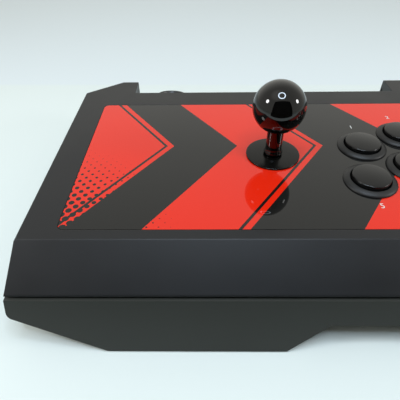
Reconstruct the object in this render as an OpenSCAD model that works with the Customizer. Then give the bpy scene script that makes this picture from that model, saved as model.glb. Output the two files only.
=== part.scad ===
// Arcade fight stick: a low wide case with a ball-top lever, eight push buttons
// and a sloping rear panel for the small controls.
// Origin: under the middle of the case, on the table. X runs to the right,
// Y to the back and Z up.

/* [Case] */
// Width at the seam between the two shells
case_w = 432; // [418:1:450]
// Depth from the foot of the front skirt to the rear wall
case_d = 240.5; // [236:0.5:252]
// Height of the case without its feet
case_h = 52; // [51:0.5:58]
// Height of the lower shell, up to the seam
lower_h = 31.5; // [31:0.5:33.5]
// How far each side leans in from the seam to the top
side_lean = 3.6; // [1:0.2:6]
// Depth covered by the sloping front of the upper shell
upper_run = 26.1; // [22:0.1:28]
// Depth covered by the leaning front of the lower shell
lower_run = 14.2; // [10:0.2:17]
// Width of the slanted underside at each side
keel_w = 55.6; // [44:0.2:58]
// Height of the slanted underside
keel_h = 20.5; // [12:0.5:24]
// Size across the case of the cut rear corners
rear_cut_x = 35.6; // [26:0.2:38]
// Size along the case of the cut rear corners
rear_cut_y = 25.4; // [18:0.2:28]
// Wall thickness of both shells
wall = 3; // [2.8:0.1:3.4]
// Height of the groove between the shells
seam_gap = 1.8; // [0.8:0.1:2]
// Rounding of the top edges
edge_r = 1; // [0.6:0.1:2.4]
// Rounding of the lower side corners
keel_r = 4; // [1:0.5:6]
// Height of the lip that closes the groove from inside
lip_h = 3.4; // [2:0.2:5]
// Thickness of the lip
lip_t = 1.4; // [1:0.1:2]

/* [Grip recess] */
// Width of the recess at its flat top
grip_top_w = 65.4; // [50:0.2:70]
// Width of the recess at the table
grip_low_w = 113; // [96:1:118]
// Height of the recess
grip_h = 16; // [10:0.5:18]
// Depth of the recess, front to back
grip_d = 45; // [34:1:46]
// How far its rear wall leans forward
grip_lean = 10; // [4:1:14]

/* [Rear controls] */
// Width of the left ear, from the cut corner to the recess
ear_w = 13; // [10:0.5:16]
// Width of the recess
notch_w = 233.4; // [230:0.2:238]
// Depth of the recess, front to back
notch_d = 22.75; // [22:0.25:25]
// Step from the top face down to the slope
slope_step = 2; // [1.6:0.1:2.6]
// Height that the slope falls by
slope_fall = 20; // [19.6:0.1:21]
// Height of the rear skirt under the slope
skirt_h = 5; // [4:0.5:6]
// Thickness of the control panel
control_t = 2.5; // [2:0.1:2.6]
// Radius of the raised ring round the home button
ring_r = 13.6; // [12.4:0.1:14]
// Height of the ring over the slope
ring_h = 4.2; // [3.4:0.1:5]
// Radius of the home button
home_r = 8.6; // [7:0.1:9.4]
// Travel of the small controls' buttons
small_travel = 0.8; // [0.4:0.1:1]
// Radius of the four small buttons
small_r = 4.2; // [3.4:0.1:4.8]
// How far the small buttons stand out
small_proud = 1.6; // [1:0.1:2.4]
// Travel of a slide switch, end to end
slider_travel = 4; // [3:0.5:5]
// Radius of an indicator light
light_r = 1.3; // [1:0.1:1.8]

/* [Cable compartment] */
// Width of the compartment
bay_w = 100; // [80:1:110]
// Depth of the compartment
bay_d = 48; // [40:1:50]
// Height of the compartment
bay_h = 19; // [17:0.5:20]
// Thickness of its walls
bay_wall = 2; // [1.6:0.1:2.4]
// Thickness of the door
door_t = 2.2; // [2:0.1:2.6]
// Clearance round the door
door_clear = 0.4; // [0.3:0.05:0.6]
// Radius of the hinge pin
door_pin_r = 1; // [0.8:0.05:1.2]
// Radius of the lead that the outlet takes
lead_r = 2.6; // [2:0.1:3.2]
// Place of the outlet across the compartment, from its middle
outlet_dx = 32; // [20:1:36]

/* [Play panel] */
// Width of the case's frame at each side of the play panel
sheet_side = 22; // [19.4:0.2:27]
// Width of the frame in front of the play panel
sheet_front = 7.45; // [6.5:0.05:10.5]
// Width of the frame behind the play panel
sheet_rear = 23; // [23:0.5:27]
// Corner radius of the play panel
sheet_r = 4; // [3:0.5:8]
// Clearance round the play panel
sheet_clear = 0.3; // [0.2:0.05:0.5]
// Thickness of the steel plate under it
plate_t = 1.6; // [1.2:0.1:2]
// How far the plate reaches under the case at the sides and rear
plate_side = 14; // [12:0.5:15]
// How far the plate reaches under the case at the front
plate_front = 5; // [3:0.5:5.5]

/* [Lever] */
// Place of the lever across the case
lever_x = -55; // [-60:0.5:-52]
// Place of the lever behind the play panel's middle
lever_back = 0; // [-2:0.5:2]
// Radius of the ball top
ball_r = 17.5; // [16:0.5:19]
// Height of the ball's centre over the panel
ball_h = 37.8; // [34:0.2:42]
// Outer radius of the shaft cover
cover_r = 5.65; // [5.4:0.05:5.8]
// Outer radius of the cover's foot
cover_foot_r = 6.65; // [6.2:0.05:7]
// Radius of the steel shaft
shaft_r = 4.75; // [4.5:0.05:4.9]
// Radius of the dust washer
washer_r = 19; // [17:0.5:21]
// Thickness of the dust washer
washer_t = 1.2; // [1:0.1:1.5]
// Depth of the pivot under the panel's top
pivot_depth = 14; // [13.6:0.1:14.6]
// Radius of the pivot ball
pivot_r = 9; // [8.8:0.1:9.2]
// Tilt to each side, in degrees
tilt = 8; // [6:0.5:8.5]
// Hole in the panel for the lever
lever_hole_r = 12; // [11:0.5:13]
// Width of the lever's mounting plate
mount_w = 89; // [86:1:91]
// Depth of the lever's mounting plate
mount_d = 53; // [52:0.5:58]
// Width of the lever's housing
housing_w = 56; // [55:0.5:60]
// Depth of the lever's housing
housing_d = 50; // [49:0.5:52]

/* [Buttons] */
// First button from the lever, to the right
button_dx = 66.5; // [64:0.5:70]
// First button from the lever, to the back
button_dy = 8.8; // [4:0.2:12]
// Step from the first column to the second
first_step = 33.5; // [33:0.5:38]
// Step between the other columns
column_step = 36; // [35.5:0.5:38]
// How far the second column sits behind the first
rise_2 = 14.5; // [12:0.5:18]
// How far the third column sits behind the first
rise_3 = 15.5; // [12:0.5:18]
// How far the fourth column sits behind the first
rise_4 = 8; // [4:0.5:12]
// How far the lower row is set to the left
row_dx = 6.4; // [4:0.2:8]
// How far the lower row is set to the front
row_dy = 39.3; // [38:0.1:42]
// Radius of a button's rim
rim_r = 17.3; // [16.8:0.1:17.5]
// Height of a button's rim
rim_h = 2.6; // [2:0.1:3.2]
// Radius of a button's barrel
barrel_r = 14.8; // [14.4:0.1:15]
// Depth of a button's barrel under the panel
barrel_d = 20; // [18:0.5:21]
// Radius of a button's cap
cap_r = 12.3; // [11.8:0.1:12.6]
// Height of the cap's edge over the panel
cap_h = 4.9; // [4.4:0.1:5.4]
// Height of the cap's dome
dome_h = 1; // [0.6:0.1:1.6]
// Travel of a button
button_travel = 3.5; // [3:0.1:3.6]

/* [Underside] */
// How far the rubber feet stand under the case
foot_proud = 1; // [0.8:0.1:2]
// Radius of a foot
foot_r = 11; // [9:0.5:12]
// Distance of the outer feet's middles from the slanted underside
foot_side_in = 13.2; // [13:0.2:23]
// Distance of the base cover from the slanted underside at the left
cover_left_in = 55.4; // [52:0.2:60]
// Distance of the base cover from the slanted underside at the right
cover_right_in = 9.4; // [9:0.2:18]
// Distance of the base cover from the grip recess
cover_front_in = 7.25; // [6.5:0.25:10]
// Distance of the base cover from the cable compartment
cover_rear_in = 6.25; // [6:0.25:10]
// Thickness of the base cover
cover_t = 1.5; // [1.2:0.1:1.6]
// Width of the rim that the base cover lies on
cover_rim = 8; // [7:0.5:10]

/* [Hidden] */
$fn = 64;
// Overrun of the cuts
over = 1;
// Steps of a rounded corner
corner_steps = 4;

// Heights and places that follow from the case's sizes
base_z = foot_proud;
top_z = base_z + case_h;
seam_z = base_z + lower_h;
roof_z = top_z - wall;
plate_z = roof_z - plate_t;
floor_z = base_z + wall;
side_x = case_w / 2;
top_side_x = side_x - side_lean;
keel_x = side_x - keel_w;
keel_z = base_z + keel_h;
front_y = -case_d / 2;
rear_y = case_d / 2;
seam_front_y = front_y + lower_run;
top_front_y = seam_front_y + upper_run;
notch_x = rear_cut_x + ear_w + notch_w / 2 - side_x;
notch_y = rear_y - notch_d;
sheet_w = 2 * (top_side_x - sheet_side);
sheet_y0 = top_front_y + sheet_front;
sheet_y1 = notch_y - sheet_rear;
sheet_d = sheet_y1 - sheet_y0;
sheet_y = (sheet_y0 + sheet_y1) / 2;
lever_y = sheet_y + lever_back;

// The case's three outlines, each counter-clockwise
side_view = [[front_y, base_z], [rear_y, base_z], [rear_y, top_z], [top_front_y, top_z],
             [seam_front_y, seam_z]];
side_view_r = [0, 0, edge_r, edge_r, 0];
front_view = [[-keel_x, base_z], [keel_x, base_z], [side_x, keel_z], [side_x, seam_z],
              [top_side_x, top_z], [-top_side_x, top_z], [-side_x, seam_z], [-side_x, keel_z]];
front_view_r = [keel_r, keel_r, keel_r, 0, edge_r, edge_r, 0, keel_r];
plan_view = [[-side_x, front_y], [side_x, front_y], [side_x, rear_y - rear_cut_y],
             [side_x - rear_cut_x, rear_y], [-side_x + rear_cut_x, rear_y],
             [-side_x, rear_y - rear_cut_y]];
plan_view_r = [0, 0, edge_r, edge_r, edge_r, edge_r];

// The grip recess in front view and side view
grip_front = [[-grip_low_w / 2, base_z - over], [grip_low_w / 2, base_z - over],
              [grip_low_w / 2, base_z], [grip_top_w / 2, base_z + grip_h],
              [-grip_top_w / 2, base_z + grip_h], [-grip_low_w / 2, base_z]];
grip_side = [[front_y - over, base_z - over], [front_y + grip_d, base_z - over],
             [front_y + grip_d, base_z], [front_y + grip_d - grip_lean, base_z + grip_h],
             [front_y - over, base_z + grip_h]];

// Posts that join the two shells, with their screws
post_r = 6;
upper_post_r = 4.5;
post_rise = 9;
post_front_in = 11;
well_depth = 9;
screw_rise = 7;
corner_post_in = 36;
mid_post_out = 19;
side_post_in = 6.5;
side_post_shares = [-0.083, 0.333];
ear_post_out = 6.5;
ear_post_in = 7.75;
case_posts = concat(
    [for (s = [-1, 1], x = [side_x - corner_post_in, grip_low_w / 2 + mid_post_out])
        [s * x, top_front_y - post_front_in]],
    [for (s = [-1, 1], share = side_post_shares) [s * (side_x - side_post_in), share * case_d]],
    [for (s = [-1, 1]) [notch_x + s * (notch_w / 2 + ear_post_out), rear_y - ear_post_in]]);
screw_r = 1.5;
screw_clear = 0.05;
case_head_r = 3.5;
case_head_h = 2.4;
well_r = 4.2;
well_z = seam_z - well_depth;
case_screw_top = seam_z + screw_rise;
lip_clear = 0.3;
lip_root = 3.4;
lip_bite = 0.6;

// Steel plate under the play panel, and its screws
sheet_t = wall;
plate_x = sheet_w / 2 + plate_side;
plate_y0 = sheet_y0 - plate_front;
plate_y1 = sheet_y1 + plate_side;
boss_in = 6;
boss_r = 3.2;
boss_clear = 0.3;
plate_head_r = 4.5;
plate_head_h = 1.8;
boss_depth = 1.6;
plate_side_shares = [-0.38, 0.03, 0.43];
plate_rear_shares = [-0.37, -0.13, 0.13, 0.37];
plate_screws = concat(
    [for (s = [-1, 1], share = plate_side_shares)
        [s * (plate_x - boss_in), sheet_y + share * sheet_d]],
    [for (share = plate_rear_shares) [share * sheet_w, plate_y1 - boss_in]]);

// The rear slope: its angle, length and the frame that its controls are built in
slope_top_z = top_z - slope_step;
slope_low_z = slope_top_z - slope_fall;
slope_a = atan2(slope_fall, notch_d);
slope_l = norm([notch_d, slope_fall]);
skirt_z = slope_low_z - skirt_h;
control_clear = 0.2;
ring_s = ring_r + control_clear / 2;
home_shoulder = 1;
ring_edge_r = 1.4;
control_drop = control_t / cos(slope_a);
flange_d = 8;
// Places of the rear controls, as shares of the recess's width from its left end
home_share = 0.1388;
small_shares = [0.2888, 0.3573, 0.4258, 0.4943];
slider_shares = [0.6315, 0.7429];
light_shares = [0.8458, 0.8801, 0.9144, 0.9487];
function across(share) = notch_x + (share - 1 / 2) * notch_w;
home_x = across(home_share);
small_xs = [for (share = small_shares) across(share)];
slider_xs = [for (share = slider_shares) across(share)];
light_xs = [for (share = light_shares) across(share)];
button_fit = 0.3;
stem_r = 2;
stem_l = 4.5;
board_t = 1.6;
board_drop = 9.5;
board_s0 = 4;
board_s1 = 24;
board_margin = 12;
tact_w = 6;
tact_h = 3.4;
tact_button_r = 1.6;
knob_w = 4;
knob_d = 3;
knob_h = 1.8;
runner_w = 9;
runner_d = 5.4;
runner_h = 1.2;
pad_h = board_drop - control_t - runner_h - 2 * control_clear;
control_post_r = 2;
control_post_x = [home_x - ring_r, (home_x + ring_r + small_xs[0]) / 2,
                  (small_xs[3] + slider_xs[0]) / 2, (slider_xs[1] + light_xs[0]) / 2];
light_d = 4.2;
pin_hole_r = 1.2;
pin_hole_d = 1.5;
pin_hole_in = 3.25;
pin_hole_low = 8.4;
pin_hole_z = top_z - pin_hole_low;

// Cable compartment, door and outlet
bay_z = floor_z + door_clear;
bay_top_z = bay_z + bay_h;
bay_y = rear_y - bay_d;
barrel_hinge_r = door_t;
hinge_y = rear_y - door_t;
hinge_z = bay_top_z - door_clear - barrel_hinge_r;
door_w = bay_w - 2 * door_clear;
pin_fit = 0.05;
pin_bite = 1.6;
outlet_x = notch_x + outlet_dx;
outlet_rise = 9;
outlet_z = bay_z + outlet_rise;
gland_r = 5;
gland_flange_r = 7;
gland_flange_t = 2;
gland_l = bay_wall + 2 * gland_flange_t;
lead_room = 1.2;
door_slot_r = lead_r + lead_room;
tab_w = 14;
tab_h = 2;
tab_t = 1.2;

// Lever: heights over the table
pivot_z = top_z - pivot_depth;
ball_z = top_z + ball_h;
mount_t = 1.6;
mount_z = plate_z - mount_t;
mount_hole_r = 9;
mount_screw_r = 2;
mount_screw_x = 40;
mount_screw_y = 20;
mount_head_r = 3.6;
mount_head_h = 2;
housing_h = 14.2;
housing_z = mount_z - housing_h;
housing_hole_r = 6.3;
cup_clear = 0.1;
disc_t = 1.2;
disc_r = 13.2;
disc_hole_r = 7.1;
disc_gap = 0.15;
disc_room = 16;
ball_cut_up = 5.4;
ball_cut_down = 5.6;
shaft_fit = 0.05;
seat_t = 1.2;
seat_r = 9.5;
seat_hole_r = 6.6;
seat_room = 5.8;
spring_r = 7.6;
spring_wire_r = 0.5;
spring_turns = 3;
curl_rings = 8;
wire_sides = 6;
actuator_top_z = housing_z - seat_t - seat_room;
flange_r = 8.2;
flange_t = 1.2;
actuator_r = 7.5;
actuator_low_r = 6;
switch_h = 6.4;
switch_l = 20;
switch_w = 9.6;
switch_in = 12;
tip_l = 0.8;
tip_r = 1.2;
switch_top_z = actuator_top_z - flange_t;
switch_z = switch_top_z - switch_h;
lever_board_w = 55;
lever_board_d = 49;
lever_board_hole_r = 12.4;
post_x = 22.5;
post_y = 19.5;
housing_post_r = 2.8;
housing_post_hole_r = 3;
gate_t = 3;
gate_gap = 0.4;
gate_top_z = switch_z - gate_gap;
gate_z = gate_top_z - gate_t;
gate_clear = 0.3;
actuator_below = 0.6;
actuator_z = gate_z - actuator_below;
gate_half = actuator_low_r / cos(tilt) + (pivot_z - actuator_z) * tan(tilt) / cos(tilt) + gate_clear;
clip_t = 0.8;
clip_r = 6.4;
groove_r = 3.6;
clip_mouth = 5.8;
shaft_tail = 2.6;
shaft_end_z = actuator_z - shaft_tail;
thread_r = 3;
thread_l = 12;
thread_hole_l = 16;
ball_bite = 1;
ball_seat_z = ball_z - sqrt(ball_r * ball_r - cover_r * cover_r) + ball_bite;
cover_gap = 1.2;
cover_bottom_z = pivot_z + ball_cut_up + cover_gap;
washer_gap = 0.1;
washer_z = top_z + washer_gap;
washer_hole_r = 6.15;
foot_gap = 1.7;
foot_ring_z = washer_z + washer_t + foot_gap;
foot_ring_h = 1.6;
foot_taper_h = 1.6;
header_w = 13;
header_d = 5;
header_h = 5.6;
header_in = 3;

// Buttons
button_hole_clear = 0.3;
button_hole_r = barrel_r + button_hole_clear;
rim_round_share = 0.8;
cap_gap = 0.8;
cap_top_z = top_z + cap_h;
cap_skirt_d = 10;
cap_wall = 1.6;
barrel_z = top_z - barrel_d;
barrel_floor = 1.5;
stem_gap = 0.3;
cap_stem_r = 2;
stem_hole_r = 3;
snap_w = 5;
snap_h = 2.2;
snap_out = 0.5;
snap_gap = 0.3;
snap_bite = 0.6;
button_switch_w = 16;
button_switch_d = 7;
button_switch_h = 8;
terminal_w = 2.8;
terminal_t = 0.6;
terminal_l = 6;
terminal_x = 4.5;
columns_x = [0, first_step, first_step + column_step, first_step + 2 * column_step];
columns_y = [0, rise_2, rise_3, rise_4];
function button_at(i) = let (column = (i - 1) % 4, row = floor((i - 1) / 4))
    [lever_x + button_dx + columns_x[column] - row * row_dx,
     lever_y + button_dy + columns_y[column] - row * row_dy];

// Underside
foot_sunk = 1.5;
foot_t = foot_proud + foot_sunk;
foot_clear = 0.2;
foot_front_in = 22;
foot_rear_in = 17;
foot_front_y = front_y + foot_front_in;
foot_rear_y = rear_y - foot_rear_in;
foot_x = keel_x - foot_side_in;
foot_mid_share = 1 / 3;
feet = concat([for (s = [-1, 1], y = [foot_front_y, foot_rear_y]) [s * foot_x, y]],
              [for (s = [-1, 1]) [s * foot_mid_share * foot_x, foot_rear_y]]);
cover_x = (cover_left_in - cover_right_in) / 2;
cover_w = 2 * keel_x - cover_left_in - cover_right_in;
cover_y0 = front_y + grip_d + cover_front_in;
cover_y1 = bay_y - cover_rear_in;
cover_y = (cover_y0 + cover_y1) / 2;
cover_d = cover_y1 - cover_y0;
cover_clear = 0.3;
cover_corner_r = 6;
base_boss_r = 3.4;
base_boss_h = 5;
base_screw_r = 1.2;
base_head_r = 2.6;
base_head_h = 0.9;
base_side_shares = [-0.36, 0.36];
base_end_shares = [-0.3, 0.3];
base_screws = concat(
    [for (sx = [-1, 1], share = base_side_shares)
        [cover_x + sx * (cover_w - cover_rim) / 2, cover_y + share * cover_d]],
    [for (sy = [-1, 1], share = base_end_shares)
        [cover_x + share * cover_w, cover_y + sy * (cover_d - cover_rim) / 2]]);

// Main circuit board
main_board_w = 44;
main_board_d = 110;
main_board_in = 75;
main_board_x = main_board_in - side_x;
main_board_lift = 6;
main_hole_in = 4;
main_post_r = 3.2;
chip_sizes = [[14, 14, 1.2], [8, 10, 1.2], [10, 18, 7], [8, 8, 5]];
chip_shares = [[0.05, 0.05], [-0.2, 0.28], [0.22, -0.34], [-0.22, -0.3]];

// A closed counter-clockwise outline moved inwards by d
function inset(pts, d) = [for (i = [0:len(pts) - 1])
    let (n = len(pts), a = pts[(i + n - 1) % n], b = pts[i], c = pts[(i + 1) % n],
         e = (b - a) / norm(b - a), f = (c - b) / norm(c - b),
         p = [-e[1], e[0]], q = [-f[1], f[0]])
    b + d * (p + q) / (1 + p * q)];

// The same outline with each corner turned into an arc of its own radius
function rounded(pts, radii) = [for (i = [0:len(pts) - 1])
    let (n = len(pts), a = pts[(i + n - 1) % n], b = pts[i], c = pts[(i + 1) % n],
         e = (b - a) / norm(b - a), f = (c - b) / norm(c - b), bend = acos(e * f),
         r = radii[i], centre = b + r * ([-e[1], e[0]] + [-f[1], f[0]]) / (1 + e * f),
         from = atan2(-e[0], e[1]))
    for (k = r == 0 ? [0:0] : [0:corner_steps])
        r == 0 ? b : centre + r * [cos(from + bend * k / corner_steps),
                                   sin(from + bend * k / corner_steps)]];

function view_at(pts, radii, d) = d == 0 ? rounded(pts, radii) : inset(pts, d);

module along_x(length) rotate([90, 0, 90]) linear_extrude(length, center = true) children();
module along_y(length) rotate([90, 0, 0]) linear_extrude(length, center = true) children();
module at(places, z) for (p = places) translate([p[0], p[1], z]) children();

// The case's outer form, or the room inside a wall of thickness d
module case_form(d) intersection() {
    along_x(case_w) polygon(view_at(side_view, side_view_r, d));
    along_y(case_d) polygon(view_at(front_view, front_view_r, d));
    linear_extrude(top_z) polygon(view_at(plan_view, plan_view_r, d));
}

// A slab as large as the case between two heights
module slab(low, high) translate([-case_w, -case_d, low]) cube([2 * case_w, 2 * case_d, high - low]);

// The rear recess as a block that goes right through, grown by d at its sides
module notch_block(d) translate([notch_x - notch_w / 2 - d, notch_y, 0])
    cube([notch_w + 2 * d, case_d, top_z + over]);

module on_slope() translate([0, notch_y, slope_top_z]) rotate([-slope_a, 0, 0]) children();

module posts(r, low, high) at(case_posts, low) cylinder(r = r, h = high - low);

// The groove between the shells, left out where the posts meet
module seam_groove(low, r) difference() {
    slab(low, low + seam_gap / 2);
    intersection() {
        case_form(wall);
        posts(r, low - over, low + seam_gap + over);
    }
}

module rounded_plate(w, d, r, h) linear_extrude(h)
    polygon(rounded([[-w / 2, -d / 2], [w / 2, -d / 2], [w / 2, d / 2], [-w / 2, d / 2]],
                    [r, r, r, r]));

module panel_holes(low, high) {
    translate([lever_x, lever_y, low]) cylinder(r = lever_hole_r, h = high - low);
    for (i = [1:8]) at([button_at(i)], low) cylinder(r = button_hole_r, h = high - low);
}

module upper_shell() color("#2b2c2b") difference() {
    case_form(0);
    slab(-over, seam_z);
    difference() {
        case_form(wall);
        posts(upper_post_r, seam_z, seam_z + post_rise);
        notch_block(wall);
        at(plate_screws, plate_z) cylinder(r = boss_r, h = wall);
    }
    seam_groove(seam_z, upper_post_r);
    notch_block(0);
    translate([0, sheet_y, roof_z - over]) rounded_plate(sheet_w + 2 * sheet_clear,
        sheet_d + 2 * sheet_clear, sheet_r + sheet_clear, wall + 2 * over);
    posts(screw_r + screw_clear, seam_z - over, case_screw_top + over);
    at(plate_screws, plate_z - over)
        cylinder(r = screw_r + screw_clear, h = boss_depth + plate_t + over + screw_clear);
    // Small pin holes on the inner faces of the ears
    for (s = [-1, 1]) translate([notch_x + s * (notch_w / 2 + pin_hole_d / 2 - over / 2),
                                 rear_y - pin_hole_in, pin_hole_z])
        rotate([0, 90, 0]) cylinder(r = pin_hole_r, h = pin_hole_d + over, center = true);
}

module lip_ring(outer, low, high) difference() {
    intersection() {
        case_form(outer);
        slab(low, high);
    }
    case_form(wall + lip_clear + lip_t);
}

module bay_block(d, rear) translate([notch_x - bay_w / 2 - d, bay_y - d, bay_z - d])
    cube([bay_w + 2 * d, bay_d + d + rear, bay_h + 2 * d]);

module grip_block(d) intersection() {
    along_y(2 * case_d) polygon(inset(grip_front, -d));
    along_x(case_w) polygon(inset(grip_side, -d));
}

module lower_shell() color("#303130") difference() {
    union() {
        difference() {
            case_form(0);
            slab(seam_z, top_z + over);
            difference() {
                case_form(wall);
                posts(post_r, 0, seam_z);
                grip_block(wall);
                bay_block(bay_wall, 0);
                at(base_screws, base_z) cylinder(r = base_boss_r, h = wall + base_boss_h);
                main_board_posts();
            }
            seam_groove(seam_z - seam_gap / 2, post_r);
        }
        difference() {
            union() {
                lip_ring(wall - lip_bite, seam_z - lip_root, seam_z - seam_gap / 2);
                lip_ring(wall + lip_clear, seam_z - seam_gap / 2 - over / 4, seam_z + lip_h);
            }
            posts(post_r, 0, top_z);
            notch_block(2 * wall);
        }
    }
    grip_block(0);
    bay_block(0, over);
    // The rear wall is lower where the control panel's skirt stands on it
    translate([notch_x - notch_w / 2, notch_y, skirt_z]) cube([notch_w, case_d, case_h]);
    // Seat and opening of the base cover
    translate([cover_x, cover_y, base_z - over]) {
        rounded_plate(cover_w + 2 * cover_clear, cover_d + 2 * cover_clear,
                      cover_corner_r + cover_clear, cover_t + over);
        rounded_plate(cover_w - 2 * cover_rim, cover_d - 2 * cover_rim, cover_corner_r,
                      wall + 2 * over);
    }
    at(base_screws, 0) cylinder(r = base_screw_r + screw_clear, h = floor_z + base_boss_h - over);
    at(feet, base_z - over) cylinder(r = foot_r + foot_clear, h = foot_t - foot_proud + over);
    posts(well_r, -over, well_z);
    posts(screw_r + 2 * screw_clear, 0, seam_z + over);
    // Hinge pin holes in the compartment's side walls
    translate([notch_x, hinge_y, hinge_z]) rotate([0, 90, 0])
        cylinder(r = door_pin_r + pin_fit, h = door_w + 2 * (door_clear + pin_bite), center = true);
    // Hole for the cable gland
    translate([outlet_x, bay_y - bay_wall / 2, outlet_z]) rotate([90, 0, 0])
        cylinder(r = gland_r, h = bay_wall + over, center = true);
    at(main_holes, floor_z) cylinder(r = base_screw_r, h = main_board_lift + over);
}

module base_cover() color("#8d9092") translate([cover_x, cover_y, base_z]) difference() {
    rounded_plate(cover_w, cover_d, cover_corner_r, cover_t);
    translate([-cover_x, -cover_y, 0]) {
        at(base_screws, -over) cylinder(r = base_head_r + cover_clear, h = base_head_h + over);
        at(base_screws, 0) cylinder(r = base_screw_r + cover_clear, h = cover_t + over);
    }
}

module steel_plate() color("#9a9da0") difference() {
    translate([-plate_x, plate_y0, plate_z]) cube([2 * plate_x, plate_y1 - plate_y0, plate_t]);
    panel_holes(plate_z - over, roof_z + over);
    at(plate_screws, plate_z - over) cylinder(r = boss_r + boss_clear, h = plate_t + 2 * over);
    lever_screw_holes(plate_z - over, roof_z + over);
}

module play_panel() color("#d5261a") difference() {
    translate([0, sheet_y, roof_z]) rounded_plate(sheet_w, sheet_d, sheet_r, sheet_t);
    panel_holes(roof_z - over, top_z + over);
}

// The control panel: flange under the case's roof, slope and rear skirt
module control_panel() color("#262726") difference() {
    union() {
        control_shape();
        on_slope() at([for (x = control_post_x) [x, slope_l / 2]], -board_drop)
            cylinder(r = control_post_r, h = board_drop - control_t / 2);
    }
    on_slope() {
        translate([home_x, ring_s, -control_t - over])
            cylinder(r = home_r - home_shoulder, h = control_t + 2 * over);
        for (x = small_xs) translate([x, slope_l / 2, -control_t - over])
            cylinder(r = small_r + button_fit, h = control_t + 2 * over);
        for (x = slider_xs) translate([x, slope_l / 2, 0])
            cube([knob_w + slider_travel + 2 * button_fit, knob_d + 2 * button_fit,
                  2 * control_t + over], center = true);
        for (x = light_xs) translate([x, slope_l / 2, -control_t - over])
            cylinder(r = light_r, h = control_t + 2 * over);
    }
}

module control_shape() translate([notch_x, 0, 0]) along_x(notch_w - 2 * control_clear) polygon([
        [notch_y + control_clear, slope_z(notch_y + control_clear)],
        [rear_y, slope_low_z], [rear_y, skirt_z], [rear_y - control_t, skirt_z],
        [rear_y - control_t, slope_z(rear_y - control_t) - control_drop],
        [notch_y + control_clear, slope_z(notch_y + control_clear) - control_drop],
        [notch_y - flange_d, slope_z(notch_y + control_clear) - control_drop],
        [notch_y - flange_d, roof_z], [notch_y + control_clear, roof_z]]);

function slope_z(y) = slope_top_z - (y - notch_y) * tan(slope_a);

module home_ring() color("#1b1b1b") on_slope() translate([home_x, ring_s, 0])
    rotate_extrude() polygon(rounded([[home_r + button_fit, 0], [ring_r, 0], [ring_r, ring_h],
                                      [home_r + button_fit, ring_h - ring_edge_r]],
                                     [0, 0, ring_edge_r, 0]));

module home_button() color("#3d3f40") on_slope() translate([home_x, ring_s, 0]) {
    rotate_extrude() polygon(rounded([[0, home_low], [home_r, home_low],
                                      [home_r, ring_h - ring_edge_r], [0, ring_h - ring_edge_r / 2]],
                                     [0, 0, ring_edge_r / 2, 0]));
    translate([0, 0, -stem_l]) cylinder(r = stem_r, h = stem_l + home_low + ring_edge_r / 4);
}
home_low = small_travel + button_fit;

module small_button(i) color("#1d1e1e") on_slope() translate([small_xs[i - 1], slope_l / 2, 0]) {
    translate([0, 0, -control_t - control_clear])
        cylinder(r = small_r, h = control_t + control_clear + small_proud);
    translate([0, 0, -stem_l]) cylinder(r = stem_r, h = stem_l);
    translate([0, 0, -control_t - control_clear - small_flange_t])
        cylinder(r = small_r + button_fit + small_flange_out, h = small_flange_t);
}
small_flange_t = 0.8;
small_flange_out = 1.1;

module slide_knob(i) color("#c9cbcc") on_slope() translate([slider_xs[i - 1] - slider_travel / 2,
                                                            slope_l / 2, 0]) {
    translate([-knob_w / 2, -knob_d / 2, -control_t - control_clear]) cube([knob_w, knob_d, control_t
        + control_clear + knob_h]);
    translate([-runner_w / 2, -runner_d / 2, -control_t - control_clear - runner_h])
        cube([runner_w, runner_d, runner_h]);
}

module indicator_lights() color("#7fd48a") on_slope() for (x = light_xs)
    translate([x, slope_l / 2, -control_t - light_d]) {
        cylinder(r = light_r - screw_clear, h = light_d + control_t);
        cylinder(r = light_r + button_fit, h = light_d - control_clear);
    }

module control_board() color("#1f5c39") on_slope() {
    translate([notch_x - notch_w / 2 + board_margin, board_s0, -board_drop - board_t])
        cube([notch_w - 2 * board_margin, board_s1 - board_s0, board_t]);
}

module control_switches() color("#c7c8c4") on_slope() {
    for (p = concat([[home_x, ring_s]], [for (x = small_xs) [x, slope_l / 2]]))
        translate([p[0], p[1], -board_drop]) {
        translate([-tact_w / 2, -tact_w / 2, 0]) cube([tact_w, tact_w, tact_h]);
        cylinder(r = tact_button_r, h = tact_h + button_fit);
    }
    for (x = slider_xs) translate([x - runner_w, -runner_d / 2 + slope_l / 2, -board_drop])
        cube([2 * runner_w, runner_d, pad_h]);
    for (x = light_xs) translate([x, slope_l / 2, -board_drop])
        cylinder(r = light_r, h = board_drop - control_t - light_d);
}

module cable_door() color("#2e2f2e") difference() {
    union() {
        translate([notch_x - door_w / 2, hinge_y, bay_z + door_clear])
            cube([door_w, door_t, hinge_z - bay_z - door_clear]);
        translate([notch_x, hinge_y, hinge_z]) rotate([0, 90, 0])
            cylinder(r = barrel_hinge_r, h = door_w, center = true);
        translate([notch_x - tab_w / 2, hinge_y - tab_t, bay_z + door_clear]) cube([tab_w, tab_t, tab_h]);
    }
    translate([notch_x, hinge_y, hinge_z]) rotate([0, 90, 0])
        cylinder(r = door_pin_r + pin_fit, h = door_w + over, center = true);
    // Slot that lets the lead out with the door shut
    translate([outlet_x, rear_y, outlet_z]) rotate([90, 0, 0])
        cylinder(r = door_slot_r, h = 3 * door_t, center = true);
    translate([outlet_x - door_slot_r, hinge_y - over, bay_z])
        cube([2 * door_slot_r, door_t + 2 * over, outlet_z - bay_z]);
}

module door_pin() color("#b9bcbe") translate([notch_x, hinge_y, hinge_z]) rotate([0, 90, 0])
    cylinder(r = door_pin_r, h = door_w + 2 * door_clear + 2 * pin_bite - door_clear, center = true);

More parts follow.
